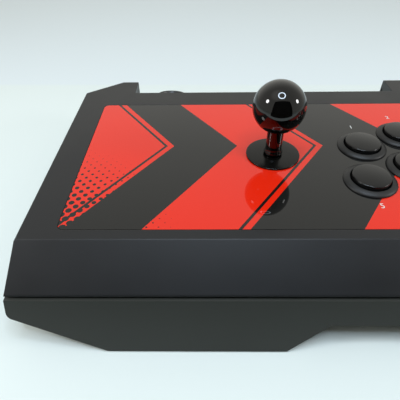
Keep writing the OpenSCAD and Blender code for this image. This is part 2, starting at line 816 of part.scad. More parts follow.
module cable_gland() color("#191919") translate([outlet_x, bay_y - bay_wall / 2, outlet_z])
    rotate([90, 0, 0]) difference() {
        union() {
            cylinder(r = gland_r, h = bay_wall, center = true);
            for (s = [-1, 1]) translate([0, 0, s * (bay_wall + gland_flange_t) / 2])
                cylinder(r = gland_flange_r, h = gland_flange_t, center = true);
        }
        cylinder(r = lead_r, h = gland_l + over, center = true);
    }

module rubber_feet() color("#151515") at(feet, 0) cylinder(r = foot_r, h = foot_t);

module case_screws() color("#a9acae") at(case_posts, well_z) {
    cylinder(r = screw_r, h = case_screw_top - well_z);
    translate([0, 0, -case_head_h]) cylinder(r = case_head_r, h = case_head_h);
}

module base_screws() color("#a9acae") at(base_screws, base_z) {
    cylinder(r = base_head_r, h = base_head_h);
    cylinder(r = base_screw_r, h = wall + base_boss_h - 2 * over);
}

module plate_screws() color("#a9acae") at(plate_screws, plate_z) {
    cylinder(r = screw_r, h = plate_t + boss_depth);
    translate([0, 0, -plate_head_h]) cylinder(r = plate_head_r, h = plate_head_h);
}

main_holes = [for (sx = [-1, 1], sy = [-1, 1])
    [main_board_x + sx * (main_board_w / 2 - main_hole_in), sy * (main_board_d / 2 - main_hole_in)]];

module main_board_posts() at(main_holes, base_z)
    cylinder(r = main_post_r, h = wall + main_board_lift);

module main_board() color("#1f5c39") translate([main_board_x, 0, floor_z + main_board_lift]) {
    difference() {
        translate([-main_board_w / 2, -main_board_d / 2, 0]) cube([main_board_w, main_board_d, board_t]);
        translate([-main_board_x, 0, 0]) at(main_holes, -over)
            cylinder(r = base_screw_r, h = board_t + 2 * over);
    }
    for (i = [0:len(chip_sizes) - 1])
        translate([chip_shares[i][0] * main_board_w - chip_sizes[i][0] / 2,
                   chip_shares[i][1] * main_board_d - chip_sizes[i][1] / 2, board_t])
            cube(chip_sizes[i]);
}

module at_lever(z) translate([lever_x, lever_y, z]) children();

mount_screws = [for (sx = [-1, 1], sy = [-1, 1])
    [lever_x + sx * mount_screw_x, lever_y + sy * mount_screw_y]];

module lever_screw_holes(low, high) at(mount_screws, low)
    cylinder(r = mount_screw_r + screw_clear, h = high - low);

module ball_top() color("#0b0b0c") difference() {
    at_lever(ball_z) sphere(r = ball_r);
    at_lever(ball_seat_z - over) cylinder(r = thread_r + shaft_fit, h = over + thread_hole_l);
    at_lever(ball_z - ball_r - over)
        cylinder(r = cover_r + shaft_fit, h = ball_seat_z - ball_z + ball_r + over);
}

module lever_shaft() color("#b4b7b9") difference() {
    union() {
        at_lever(shaft_end_z) cylinder(r = shaft_r, h = ball_seat_z - shaft_end_z);
        at_lever(ball_seat_z - over) cylinder(r = thread_r, h = thread_l + over);
    }
    at_lever(actuator_z - clip_t) difference() {
        cylinder(r = shaft_r + over, h = clip_t);
        translate([0, 0, -over]) cylinder(r = groove_r, h = clip_t + 2 * over);
    }
}

module shaft_cover() color("#0e0e0f") difference() {
    union() {
        at_lever(cover_bottom_z) cylinder(r = cover_r, h = ball_seat_z - cover_bottom_z);
        at_lever(foot_ring_z) cylinder(r = cover_foot_r, h = foot_ring_h);
        at_lever(foot_ring_z + foot_ring_h)
            cylinder(r1 = cover_foot_r, r2 = cover_r, h = foot_taper_h);
    }
    at_lever(cover_bottom_z - over) cylinder(r = shaft_r + shaft_fit, h = ball_z);
}

module dust_washer() color("#1a1a1a") at_lever(washer_z) difference() {
    rotate_extrude() polygon(rounded([[0, 0], [washer_r, 0], [washer_r, washer_t], [0, washer_t]],
                                     [0, 0, washer_t / 2, 0]));
    translate([0, 0, -over]) cylinder(r = washer_hole_r, h = washer_t + 2 * over);
}

module lower_dust_disc() color("#1a1a1a") at_lever(mount_z - disc_gap - disc_t) difference() {
    cylinder(r = disc_r, h = disc_t);
    translate([0, 0, -over]) cylinder(r = disc_hole_r, h = disc_t + 2 * over);
}

module lever_mount() color("#a2a5a7") difference() {
    at_lever(mount_z) translate([-mount_w / 2, -mount_d / 2, 0]) cube([mount_w, mount_d, mount_t]);
    at_lever(mount_z - over) cylinder(r = mount_hole_r, h = mount_t + 2 * over);
    lever_screw_holes(mount_z - over, plate_z + over);
}

module lever_housing() color("#1f2021") difference() {
    union() {
        at_lever(housing_z) translate([-housing_w / 2, -housing_d / 2, 0])
            cube([housing_w, housing_d, mount_z - housing_z]);
        for (sx = [-1, 1], sy = [-1, 1]) at_lever(gate_top_z)
            translate([sx * post_x, sy * post_y, 0])
                cylinder(r = housing_post_r, h = housing_z - gate_top_z);
    }
    at_lever(pivot_z) sphere(r = pivot_r + cup_clear);
    // Room for the disc over the pivot, and the way out under it for the shaft
    at_lever(mount_z - disc_t - 2 * disc_gap) cylinder(r = disc_room, h = disc_t + 2 * disc_gap + over);
    at_lever(pivot_z) cylinder(r = pivot_r + cup_clear, h = mount_z - pivot_z);
    at_lever(housing_z - over) cylinder(r = housing_hole_r, h = pivot_z - housing_z);
}

module pivot_ball() color("#d9d9d2") at_lever(pivot_z) difference() {
    intersection() {
        sphere(r = pivot_r);
        translate([-pivot_r, -pivot_r, -ball_cut_down]) cube([2 * pivot_r, 2 * pivot_r,
            ball_cut_up + ball_cut_down]);
    }
    // A slot that widens away from the centre, so the shaft can lean to either side in it
    along_y(2 * (shaft_r + shaft_fit)) polygon(bow_tie);
}
slot_half = shaft_r / cos(tilt) + shaft_fit;
slot_end = slot_half + (pivot_r + over) * tan(tilt) + shaft_fit;
bow_tie = [[-slot_end, -pivot_r - over], [slot_end, -pivot_r - over], [slot_half, 0],
           [slot_end, pivot_r + over], [-slot_end, pivot_r + over], [-slot_half, 0]];

module spring_seat() color("#c4c7c8") at_lever(housing_z - seat_t) difference() {
    cylinder(r = seat_r, h = seat_t);
    translate([0, 0, -over]) cylinder(r = seat_hole_r, h = seat_t + 2 * over);
}

// One open tube along the coil: rings of points, joined ring to ring
spring_low = actuator_top_z + spring_wire_r;
spring_high = housing_z - seat_t - spring_wire_r;
spring_rings = spring_turns * curl_rings;
function coil(t) = [spring_r * cos(360 * spring_turns * t), spring_r * sin(360 * spring_turns * t),
                    spring_low + (spring_high - spring_low) * t];
coil_pitch = (spring_high - spring_low) / spring_turns;
coil_lean = atan2(coil_pitch, 2 * PI * spring_r);
function coil_ring(t) = let (a = 360 * spring_turns * t, out = [cos(a), sin(a), 0],
                             up = [sin(a) * sin(coil_lean), -cos(a) * sin(coil_lean), cos(coil_lean)])
    [for (k = [0:wire_sides - 1]) let (b = 360 * k / wire_sides)
        coil(t) + spring_wire_r * (cos(b) * out + sin(b) * up)];
echo(spring_gap = coil_pitch * cos(coil_lean) - 2 * spring_wire_r);

module lever_spring() color("#c8cbcd") at_lever(0) polyhedron(
    points = [for (i = [0:spring_rings]) each coil_ring(i / spring_rings)],
    faces = concat(
        [[for (k = [0:wire_sides - 1]) k]],
        [for (i = [0:spring_rings - 1], k = [0:wire_sides - 1])
            let (a = i * wire_sides, j = (k + 1) % wire_sides)
            each [[a + k, a + wire_sides + j, a + j], [a + k, a + wire_sides + k, a + wire_sides + j]]],
        [[for (k = [wire_sides - 1:-1:0]) spring_rings * wire_sides + k]]));

module actuator() color("#d9d9d2") difference() {
    union() {
        at_lever(actuator_top_z - flange_t) cylinder(r = flange_r, h = flange_t);
        at_lever(gate_top_z) cylinder(r = actuator_r, h = actuator_top_z - gate_top_z);
        at_lever(actuator_z) cylinder(r = actuator_low_r, h = actuator_top_z - actuator_z);
    }
    at_lever(actuator_z - over) cylinder(r = shaft_r + shaft_fit, h = actuator_top_z);
}

module e_clip() color("#8e9193") at_lever(actuator_z - clip_t) difference() {
    cylinder(r = clip_r, h = clip_t);
    translate([0, 0, -over]) cylinder(r = groove_r + shaft_fit, h = clip_t + 2 * over);
    translate([-clip_mouth / 2, 0, -over]) cube([clip_mouth, clip_r + over, clip_t + 2 * over]);
}

module restrictor_gate() color("#d9d9d2") at_lever(gate_z) difference() {
    translate([-housing_w / 2, -housing_d / 2, 0]) cube([housing_w, housing_d, gate_t]);
    translate([-gate_half, -gate_half, -over]) cube([2 * gate_half, 2 * gate_half, gate_t + 2 * over]);
}

module lever_switches() color("#232425") for (a = [0:90:270]) at_lever(switch_z) rotate([0, 0, a]) {
    translate([switch_in, -switch_l / 2, 0]) cube([switch_w, switch_l, switch_h]);
    translate([switch_in - tip_l, 0, switch_h / 2]) rotate([0, 90, 0]) cylinder(r = tip_r, h = 2 * tip_l);
}

module lever_board() color("#1f5c39") difference() {
    union() {
        at_lever(switch_top_z) translate([-lever_board_w / 2, -lever_board_d / 2, 0])
            cube([lever_board_w, lever_board_d, board_t]);
        at_lever(switch_top_z - header_h) translate([-header_w / 2 - lever_board_w / 5,
            -lever_board_d / 2 - header_in, 0]) cube([header_w, header_d, header_h + board_t]);
    }
    at_lever(switch_top_z - over) cylinder(r = lever_board_hole_r, h = board_t + 2 * over);
    for (sx = [-1, 1], sy = [-1, 1]) at_lever(switch_top_z - over)
        translate([sx * post_x, sy * post_y, 0])
        cylinder(r = housing_post_hole_r, h = board_t + 2 * over);
}

module lever_screws() color("#a9acae") at(mount_screws, mount_z) {
    cylinder(r = mount_screw_r, h = mount_t + plate_t);
    translate([0, 0, -mount_head_h]) cylinder(r = mount_head_r, h = mount_head_h);
}

module button_housing(i) color("#232423") at([button_at(i)], 0) difference() {
    union() {
        translate([0, 0, top_z]) rotate_extrude() polygon(rounded(
            [[barrel_r - over, 0], [rim_r, 0], [rim_r, rim_h], [barrel_r - over, rim_h]],
            [0, 0, rim_round_share * rim_h, 0]));
        translate([0, 0, barrel_z]) cylinder(r = barrel_r, h = barrel_d);
        // Snap hooks under the steel plate
        for (a = [0, 180]) rotate([0, 0, a]) translate([barrel_r - snap_bite, -snap_w / 2,
            plate_z - snap_gap - snap_h]) cube([snap_bite + snap_out, snap_w, snap_h]);
    }
    translate([0, 0, barrel_z + barrel_floor]) cylinder(r = cap_r + cap_gap, h = barrel_d + rim_h);
    translate([0, 0, barrel_z - over]) cylinder(r = stem_hole_r, h = barrel_floor + 2 * over);
}

cap_foot_z = cap_top_z - cap_skirt_d;
cap_stem_z = barrel_z + stem_gap + button_travel;
module button_cap(i) color("#2a2b2a") at([button_at(i)], 0) {
    difference() {
        union() {
            translate([0, 0, cap_foot_z]) cylinder(r = cap_r, h = cap_skirt_d);
            translate([0, 0, cap_top_z]) intersection() {
                translate([0, 0, dome_h - dome_r]) sphere(r = dome_r, $fn = 2 * $fn);
                cylinder(r = cap_r, h = dome_h + over);
            }
        }
        translate([0, 0, cap_foot_z - over])
            cylinder(r = cap_r - cap_wall, h = cap_skirt_d - cap_wall + over);
    }
    translate([0, 0, cap_stem_z]) cylinder(r = cap_stem_r, h = cap_top_z - cap_wall / 2 - cap_stem_z);
}
dome_r = (cap_r * cap_r + dome_h * dome_h) / (2 * dome_h);

module button_switches() color("#b9322a") for (i = [1:8]) at([button_at(i)], barrel_z - button_switch_h) {
    translate([-button_switch_w / 2, -button_switch_d / 2, 0])
        cube([button_switch_w, button_switch_d, button_switch_h]);
    for (s = [-1, 1]) translate([s * terminal_x - terminal_t / 2, -terminal_w / 2, -terminal_l])
        cube([terminal_t, terminal_w, terminal_l + over]);
}

upper_shell();
lower_shell();
base_cover();
steel_plate();
play_panel();
control_panel();
home_ring();
home_button();
slide_knob(1);  // slide_knob_1
slide_knob(2);  // slide_knob_2
indicator_lights();
control_board();
control_switches();
cable_door();
door_pin();
cable_gland();
rubber_feet();
case_screws();
base_screws();
plate_screws();
main_board();
ball_top();
lever_shaft();
shaft_cover();
dust_washer();
lower_dust_disc();
lever_mount();
lever_housing();
pivot_ball();
spring_seat();
lever_spring();
actuator();
e_clip();
restrictor_gate();
lever_switches();
lever_board();
lever_screws();
button_switches();
for (i = [1:4]) small_button(i);
for (i = [1:8]) button_housing(i);
for (i = [1:8]) button_cap(i);
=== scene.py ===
# %% [markdown]
# # An arcade fight stick
# A low, wide case of black moulded plastic carries a glossy printed play panel, a lever with
# a ball top and eight round push buttons. The solids of every part come from the packed
# model, so this lesson builds no case. It gives the parts their finishes, and makes finer
# shapes where the eye looks longest: the ball, the washer, the buttons, the small controls
# at the rear, the screws and the feet.

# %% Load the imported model
import math
import bmesh
import bpy
from mathutils import Matrix, Vector


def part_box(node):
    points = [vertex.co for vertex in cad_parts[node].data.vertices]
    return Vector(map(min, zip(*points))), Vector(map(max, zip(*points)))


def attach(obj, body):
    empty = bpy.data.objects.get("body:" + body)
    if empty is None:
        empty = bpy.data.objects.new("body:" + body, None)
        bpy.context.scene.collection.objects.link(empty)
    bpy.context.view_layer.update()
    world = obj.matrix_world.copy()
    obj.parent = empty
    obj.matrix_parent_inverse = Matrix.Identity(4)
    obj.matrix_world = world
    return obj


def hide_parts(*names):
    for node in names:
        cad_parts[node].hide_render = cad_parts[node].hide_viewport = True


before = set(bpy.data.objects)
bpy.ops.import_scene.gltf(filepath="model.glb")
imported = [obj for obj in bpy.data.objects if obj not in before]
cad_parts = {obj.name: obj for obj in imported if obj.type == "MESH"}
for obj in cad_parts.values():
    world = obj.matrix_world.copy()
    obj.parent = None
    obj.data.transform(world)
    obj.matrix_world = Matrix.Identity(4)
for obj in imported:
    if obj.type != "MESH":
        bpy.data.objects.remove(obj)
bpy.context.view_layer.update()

# %% [markdown]
# ## Places in millimetres
# A maker's drawing is in millimetres and Blender works in metres, so sizes are written in
# millimetres here and turned to metres where a mesh is made. The places of the finer shapes
# could be typed in as well, but they would be wrong as soon as a part moved, so they are
# read from the boxes round the solids. A round solid has flat facets and its box may be a
# trace too small, but the middle of the box holds. Where several solids share a node, its
# box can't tell them apart, and only their places are written out.

# %% Read places from the solids
MM = 0.001


def box_mm(node):
    """The lowest and the highest corner of a solid at rest, in mm."""
    return [[round(value / MM, 2) for value in corner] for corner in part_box(node)]


def middle_mm(node):
    """The middle of a solid's box, in mm."""
    low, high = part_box(node)
    return [round(value / MM, 2) for value in (low + high) / 2]


PANEL_Z = box_mm("play_panel")[1][2]
print("top of the play panel:", PANEL_Z, "mm over the table")

# %% [markdown]
# ## The camera
# The picture was taken from the player's left, looking down on the case. A camera could be
# aimed by eye, but its place and its turn were worked out from the case's straight edges and
# the round parts, so that the render can be laid over the photograph. The camera's matrix is
# built from its own directions right, up and ahead, which are easier to check than three
# turns in a row.

# %% Place the camera
PHOTO_SIDE = 400  # pixels
FOCAL_PIXELS = 373.887
SENSOR_WIDTH = 36  # mm
NEAREST = 0.01  # m
CAMERA_MM = (-103.185, -220.153, 212.239)
HEADING, PITCH, ROLL = (math.radians(degrees) for degrees in (-1.196, 42.664, -0.967))

ahead = Vector((math.sin(HEADING) * math.cos(PITCH),
                math.cos(HEADING) * math.cos(PITCH),
                -math.sin(PITCH)))
level_right = Vector((math.cos(HEADING), -math.sin(HEADING), 0))
level_up = level_right.cross(ahead)
right = math.cos(ROLL) * level_right + math.sin(ROLL) * level_up
up = -math.sin(ROLL) * level_right + math.cos(ROLL) * level_up
turn = Matrix((right, up, -ahead)).transposed().to_4x4()

camera_data = bpy.data.cameras.new("camera")
camera_data.sensor_width = SENSOR_WIDTH
camera_data.lens = FOCAL_PIXELS * SENSOR_WIDTH / PHOTO_SIDE
camera_data.clip_start = NEAREST
camera = bpy.data.objects.new("camera", camera_data)
camera.matrix_world = Matrix.Translation(Vector(CAMERA_MM) * MM) @ turn
bpy.context.scene.collection.objects.link(camera)
bpy.context.scene.camera = camera
bpy.context.scene.view_settings.view_transform = "Standard"
print("lens", round(camera_data.lens, 2), "mm")

# %% [markdown]
# ## Small helpers for finishes
# A finish is a tree of shader nodes. One helper turns the hex colours that designers use
# into the linear values that the renderer needs. Another adds a node, sets its fields and
# links its inputs. Trees could also be drawn by hand in the editor, but written like this
# each finish reads as a short list, and it comes out the same on every run.

# %% Colours and nodes
SRGB_KNEE, SRGB_SLOPE, SRGB_OFFSET, SRGB_POWER = 0.04045, 12.92, 0.055, 2.4


def linear(hex_colour):
    """An sRGB hex colour as linear RGBA."""
    parts = [int(hex_colour[i:i + 2], 16) / 255 for i in (1, 3, 5)]
    return [part / SRGB_SLOPE if part <= SRGB_KNEE
            else ((part + SRGB_OFFSET) / (1 + SRGB_OFFSET)) ** SRGB_POWER
            for part in parts] + [1.0]


def add(tree, kind, inputs=(), **fields):
    """Adds a node to a tree. Inputs are values or other nodes' outputs, by name or number."""
    node = tree.nodes.new(kind)
    for name, value in fields.items():
        setattr(node, name, value)
    for name, value in dict(inputs).items():
        if isinstance(value, bpy.types.NodeSocket):
            tree.links.new(value, node.inputs[name])
        else:
            node.inputs[name].default_value = value
    return node


def new_finish(name):
    """An empty material, and its tree."""
    material = bpy.data.materials.new(name)
    material.use_nodes = True
    material.node_tree.nodes.clear()
    return material, material.node_tree


def close_finish(material, surface):
    """Joins the last shader to the material's output."""
    add(material.node_tree, "ShaderNodeOutputMaterial", {"Surface": surface.outputs[0]})
    print("finish:", material.name)
    return material

# %% [markdown]
# ## The floor
# The stick stands on a pale painted table. Beyond the table's edge comes a wall, a little
# cooler in colour. Two surfaces could stand for them, but the camera looks down and never
# sees where they meet, so both are one large plane whose colour changes along that edge. In
# the photograph the edge runs slightly askew, and so it does here. Satin paint spreads the
# light, so the plane is rough and mirrors little.

# %% The floor
TABLE_COLOUR, WALL_COLOUR = "#DBE4E1", "#D9E2E4"
PAINT_ROUGHNESS, PAINT_GLOSS = 0.55, 0.25
EDGE_AT, EDGE_SLOPE, EDGE_SOFT = 0.2218, 0.0165, 0.003  # metres, metres per metre, metres
FLOOR_HALF = 6  # metres
SQUARE = ((-1, -1), (1, -1), (1, 1), (-1, 1))

# Painted table: an even, pale surface that holds a soft shadow and shows no mirror image.
floor_finish, tree = new_finish("painted_table")
place = add(tree, "ShaderNodeTexCoord").outputs["Object"]
along = add(tree, "ShaderNodeVectorMath", {0: place, 1: (EDGE_SLOPE, 1, 0)},
            operation="DOT_PRODUCT")
beyond = add(tree, "ShaderNodeMapRange", {
    "Value": along.outputs["Value"], "From Min": EDGE_AT - EDGE_SOFT,
    "From Max": EDGE_AT + EDGE_SOFT})
colour = add(tree, "ShaderNodeMix", {
    "Factor": beyond.outputs[0], 6: linear(TABLE_COLOUR), 7: linear(WALL_COLOUR)},
    data_type="RGBA")
close_finish(floor_finish, add(tree, "ShaderNodeBsdfPrincipled", {
    "Base Color": colour.outputs[2], "Roughness": PAINT_ROUGHNESS,
    "Specular IOR Level": PAINT_GLOSS}))


def scenery(name, corners, faces, material):
    """Something round the object that isn't part of it. Corners in metres."""
    mesh = bpy.data.meshes.new(name)
    mesh.from_pydata(corners, [], faces)
    mesh.materials.append(material)
    thing = bpy.data.objects.new(name, mesh)
    bpy.context.scene.collection.objects.link(thing)
    return thing


floor_corners = [(x * FLOOR_HALF, y * FLOOR_HALF, 0) for x, y in SQUARE]
scenery("floor", floor_corners, [(0, 1, 2, 3)], floor_finish)
print("table ends at", EDGE_AT, "m")

# %% [markdown]
# ## Light and surroundings
# A polished black ball is a map of the room. It shows a soft room that is brighter towards
# the back wall, a ring lamp about 0.9 m over the case with the ceiling lit round it, a small
# soft lamp on each side, and a dark space in front. Each was placed by following the ray
# from the camera to its image on the ball and on into the room, and its strength is written
# as radiance, so it looks as bright as its image. The world could hold a picture of a room,
# but a plain colour that grows lighter towards the back does the same and keeps the file
# free of pictures. A tall black card shades the room in front. A low card nearer to the
# case shows only in reflections, where it darkens the front of the ball and of the case.

# %% The room
ROOM_COLOUR = "#FEFDF5"
ROOM_LIGHT, WALL_LIGHT = 0.55, 0.92
BACK_FROM, BACK_TO = 0.32, 0.92  # a ray's Y where the wall's light starts and is full
CEILING_GLOW = 0.35
CEILING_GLOW_AT = (-0.268, -0.155, 0.951)  # the direction of the ceiling lit by the ring lamp
GLOW_FROM, GLOW_TO = 0.88, 0.985  # cosine of the angle to that direction, at the glow's edges

room = bpy.data.worlds.new("soft_room")
room.use_nodes = True
tree = room.node_tree
tree.nodes.clear()
direction = add(tree, "ShaderNodeTexCoord").outputs["Object"]
backward = add(tree, "ShaderNodeSeparateXYZ", {"Vector": direction}).outputs["Y"]
level = add(tree, "ShaderNodeMapRange", {
    "Value": backward, "From Min": BACK_FROM, "From Max": BACK_TO,
    "To Min": ROOM_LIGHT, "To Max": WALL_LIGHT}, interpolation_type="SMOOTHSTEP")
towards = add(tree, "ShaderNodeVectorMath", {0: direction, 1: CEILING_GLOW_AT},
              operation="DOT_PRODUCT")
glow = add(tree, "ShaderNodeMapRange", {
    "Value": towards.outputs["Value"], "From Min": GLOW_FROM, "From Max": GLOW_TO,
    "To Min": 0.0, "To Max": CEILING_GLOW}, interpolation_type="SMOOTHSTEP")
both = add(tree, "ShaderNodeMath", {0: level.outputs[0], 1: glow.outputs[0]}, operation="ADD")
sky = add(tree, "ShaderNodeBackground", {
    "Color": linear(ROOM_COLOUR), "Strength": both.outputs[0]})
add(tree, "ShaderNodeOutputWorld", {"Surface": sky.outputs[0]})
bpy.context.scene.world = room
print("room light:", ROOM_LIGHT, "to", WALL_LIGHT)

# %% The side lamps
SIDE_LAMPS = {  # place and width in metres, and radiance
    "left_lamp": ((-0.671, -0.14, 0.469), 0.165, 23),
    "right_lamp": ((0.594, -0.108, 0.387), 0.146, 23),
}
LOOK_AT = Vector((-0.055, 0.0, 0.09))  # the ball

for name, (lamp_place, width, radiance) in SIDE_LAMPS.items():
    area = math.pi * width ** 2 / 4
    lamp_data = bpy.data.lights.new(name, "AREA")
    lamp_data.shape = "DISK"
    lamp_data.size = width
    lamp_data.energy = math.pi * area * radiance
    lamp = bpy.data.objects.new(name, lamp_data)
    lamp.location = lamp_place
    lamp.rotation_euler = (LOOK_AT - lamp.location).to_track_quat("-Z", "Y").to_euler()
    bpy.context.scene.collection.objects.link(lamp)
print("side lamps:", len(SIDE_LAMPS))

# %% The ring lamp
RING_AT = Vector((-0.041, -0.237, 0.975))
RING_OUTER, RING_INNER = 0.228, 0.172  # metres, from its middle
RING_STEPS = 48
RING_RADIANCE, RING_COLOUR = 27.0, "#DCEDFF"

# Lamp tube: glows evenly and slightly blue, so its image on the ball is a crisp ring.
tube_glow, tree = new_finish("ring_lamp_tube")
close_finish(tube_glow, add(tree, "ShaderNodeEmission", {
    "Color": linear(RING_COLOUR), "Strength": RING_RADIANCE}))
tilt = (LOOK_AT - RING_AT).to_track_quat("-Z", "Y").to_matrix()


def ring_point(radius, step):
    """A point of a circle round the middle of the ring lamp, in its tilted plane."""
    angle = math.tau * step / RING_STEPS
    return RING_AT + tilt @ Vector((radius * math.cos(angle), radius * math.sin(angle), 0))


circles = [ring_point(radius, step) for radius in (RING_OUTER, RING_INNER)
           for step in range(RING_STEPS)]
neighbours = [(step, (step + 1) % RING_STEPS) for step in range(RING_STEPS)]
scenery("ring_lamp", circles, [(a, a + RING_STEPS, b + RING_STEPS, b) for a, b in neighbours],
        tube_glow)
print("ring lamp", round(RING_AT.z - PANEL_Z * MM, 2), "m over the panel")

# %% The black cards
CARDS = {  # metres in front, left end, right end and height, and whether it shades the room
    "tall_card": (0.8, -0.72, 0.754, 1.11, True),
    "low_card": (0.29, -0.31, 0.23, 0.1, False),
}

# Black card: takes in nearly all the light that reaches it, so what mirrors it goes dark.
card_black, tree = new_finish("black_card")
close_finish(card_black, add(tree, "ShaderNodeBsdfDiffuse", {"Color": linear("#2A2722")}))
for name, (away, left, right_end, height, shades) in CARDS.items():
    corners = [(left, -away, 0), (right_end, -away, 0),
               (right_end, -away, height), (left, -away, height)]
    card = scenery(name, corners, [(0, 1, 2, 3)], card_black)
    card.visible_camera = False
    card.visible_diffuse = shades
    card.visible_shadow = shades
print("cards:", len(CARDS))

# %% [markdown]
# ## Moulded plastics
# Both shells are injection-moulded ABS. Their mould was spark-eroded, which leaves a fine
# even grain. An image of a grain could be tiled over the case, but it would show seams and
# it would need a file. A fine noise that tips the normal has no seams and needs none. Real
# grain is under 0.1 mm wide, too fine to show, so each is drawn several times as coarse. A
# second, much broader noise varies the roughness a little, as handling does. The other
# moulded plastics differ only in colour, grain and gloss, so one helper makes them all. A
# gloss level under 0.5 weakens the mirror image: the hollows of the real grain trap light,
# so the plastic mirrors less than its IOR alone would give.

# %% A moulded plastic
PLASTIC_IOR = 1.53
WEAR_MM = 35.7  # width of a patch that handling has polished or dulled
WEAR_FROM, WEAR_TO = 0.3, 0.7  # where most of the noise's values lie
POLISHED_BY, DULLED_BY = 0.03, 0.04
GRAIN_STRENGTH = 0.35


def moulded(name, hex_colour, roughness, grain_mm, depth_mm, edge_mm=0.0, gloss_level=0.5):
    """A moulded plastic with a fine grain. An edge size rounds the look of sharp edges."""
    material, tree = new_finish(name)
    place = add(tree, "ShaderNodeTexCoord").outputs["Object"]
    grain = add(tree, "ShaderNodeTexNoise", {
        "Vector": place, "Scale": 1 / (grain_mm * MM), "Detail": 2.0, "Roughness": 0.6})
    wear = add(tree, "ShaderNodeTexNoise", {
        "Vector": place, "Scale": 1 / (WEAR_MM * MM), "Detail": 3.0})
    dull = add(tree, "ShaderNodeMapRange", {
        "Value": wear.outputs["Fac"], "From Min": WEAR_FROM, "From Max": WEAR_TO,
        "To Min": roughness - POLISHED_BY, "To Max": roughness + DULLED_BY})
    bump = add(tree, "ShaderNodeBump", {
        "Height": grain.outputs["Fac"], "Strength": GRAIN_STRENGTH, "Distance": depth_mm * MM})
    if edge_mm:
        rounded = add(tree, "ShaderNodeBevel", {"Radius": edge_mm * MM}, samples=4)
        tree.links.new(rounded.outputs[0], bump.inputs["Normal"])
    return close_finish(material, add(tree, "ShaderNodeBsdfPrincipled", {
        "Base Color": linear(hex_colour), "Roughness": dull.outputs[0], "IOR": PLASTIC_IOR,
        "Specular IOR Level": gloss_level, "Normal": bump.outputs[0]}))


# %% The moulded plastics of this part
# Upper shell: nearly black, but its grain spreads the bright room, so it looks charcoal. The
# rounded look of its edges catches a thin line of light.
case_abs = moulded("spark_eroded_abs", "#0E1013", 0.43, 0.5, 0.07, edge_mm=1.0, gloss_level=0.43)

# Lower shell: the same plastic, a little rougher. Its lighter, warmer colour is painted light,
# standing in for light from the table on the lower front.
lower_abs_painted_light = moulded("spark_eroded_abs_lower_painted_light", "#232520", 0.48, 0.5, 0.05)

# Button rims: a hard, smooth PBT whose round edge gives a broad, soft highlight.
button_plastic = moulded("button_pbt", "#131313", 0.47, 0.7, 0.01, gloss_level=0.4)

# Button caps: the same PBT from a smoother mould, so the dome mirrors the lamps more clearly.
cap_plastic = moulded("button_cap_pbt", "#101010", 0.2, 0.8, 0.01, gloss_level=0.39)

# Dust washer: dense polyacetal, the blackest disc on the panel, with a faint sheen.
washer_plastic = moulded("washer_polyacetal", "#090908", 0.2, 0.6, 0.01, gloss_level=0.24)

# Inside the case: dull black and milky nylon, dark phenolic switches and red nylon ones.
housing_plastic = moulded("housing_nylon_black", "#1C1C1C", 0.45, 0.6, 0.02)
natural_nylon = moulded("natural_nylon", "#D9D8D0", 0.4, 0.8, 0.01)
switch_plastic = moulded("switch_phenolic", "#26262A", 0.5, 0.5, 0.02)
switch_red_plastic = moulded("switch_red_nylon", "#A5352B", 0.42, 0.5, 0.01)

# Slide knobs: pale grey ABS, the only light spots in the rear recess beside the lamps.
knob_plastic = moulded("knob_grey_abs", "#B9BBBB", 0.42, 0.5, 0.01)

# Feet and gland: moulded rubber, which hardly shines at all.
moulded_rubber = moulded("moulded_rubber", "#161616", 0.75, 0.35, 0.05)

# %% [markdown]
# ## Polished plastics
# The ball top is phenolic and the shaft's cover is ABS, both polished to a mirror. A perfect
# mirror would be the easy way, but it looks drawn rather than made. The roughness is close
# to zero instead, and a faint noise gives the waviness that moulding and polishing leave, so
# the lamps' images are crisp but not quite round.

# %% Polished plastics
POLISHED_IOR = 1.56
WAVE_MM, WAVE_DEPTH_MM, WAVE_STRENGTH = 11.1, 0.1, 0.02


def polished(name, hex_colour, roughness):
    """A polished plastic with a trace of waviness."""
    material, tree = new_finish(name)
    place = add(tree, "ShaderNodeTexCoord").outputs["Object"]
    wave = add(tree, "ShaderNodeTexNoise", {
        "Vector": place, "Scale": 1 / (WAVE_MM * MM), "Detail": 1.0})
    bump = add(tree, "ShaderNodeBump", {
        "Height": wave.outputs["Fac"], "Strength": WAVE_STRENGTH,
        "Distance": WAVE_DEPTH_MM * MM})
    return close_finish(material, add(tree, "ShaderNodeBsdfPrincipled", {
        "Base Color": linear(hex_colour), "Roughness": roughness, "IOR": POLISHED_IOR,
        "Normal": bump.outputs[0]}))


# Ball top: its colour barely matters, because what the eye sees is the room in it.
ball_gloss = polished("polished_phenolic", "#050505", 0.035)

# Shaft cover: as black as the ball, with long thin highlights down its sides.
cover_gloss = polished("polished_abs_black", "#060606", 0.045)

# Ring round the home button: half polished, so it shines without a clear image.
ring_gloss = polished("polished_abs_ring", "#101010", 0.32)

# Home button and lamps: smoked and green acrylic, smooth and glassy at a glance.
home_smoke = polished("smoked_acrylic", "#2A2D30", 0.12)
lamp_lens = polished("lamp_lens_green", "#79C884", 0.1)

# %% [markdown]
# ## Metals and boards
# The base cover and the plates are cold-rolled steel with a brushed face, the screws and the
# shaft are zinc plated, and the circuit boards are glass fibre under green lacquer. Brushing
# could be given by an anisotropic shader, but marks drawn in the roughness and the bump also
# show when the view is close. They come from one noise that is stretched along X.

# %% A metal
MARK_DULLS, MARK_SHINES = 0.1, 0.08
MARK_DEPTH_MM, MARK_STRENGTH = 0.02, 0.15


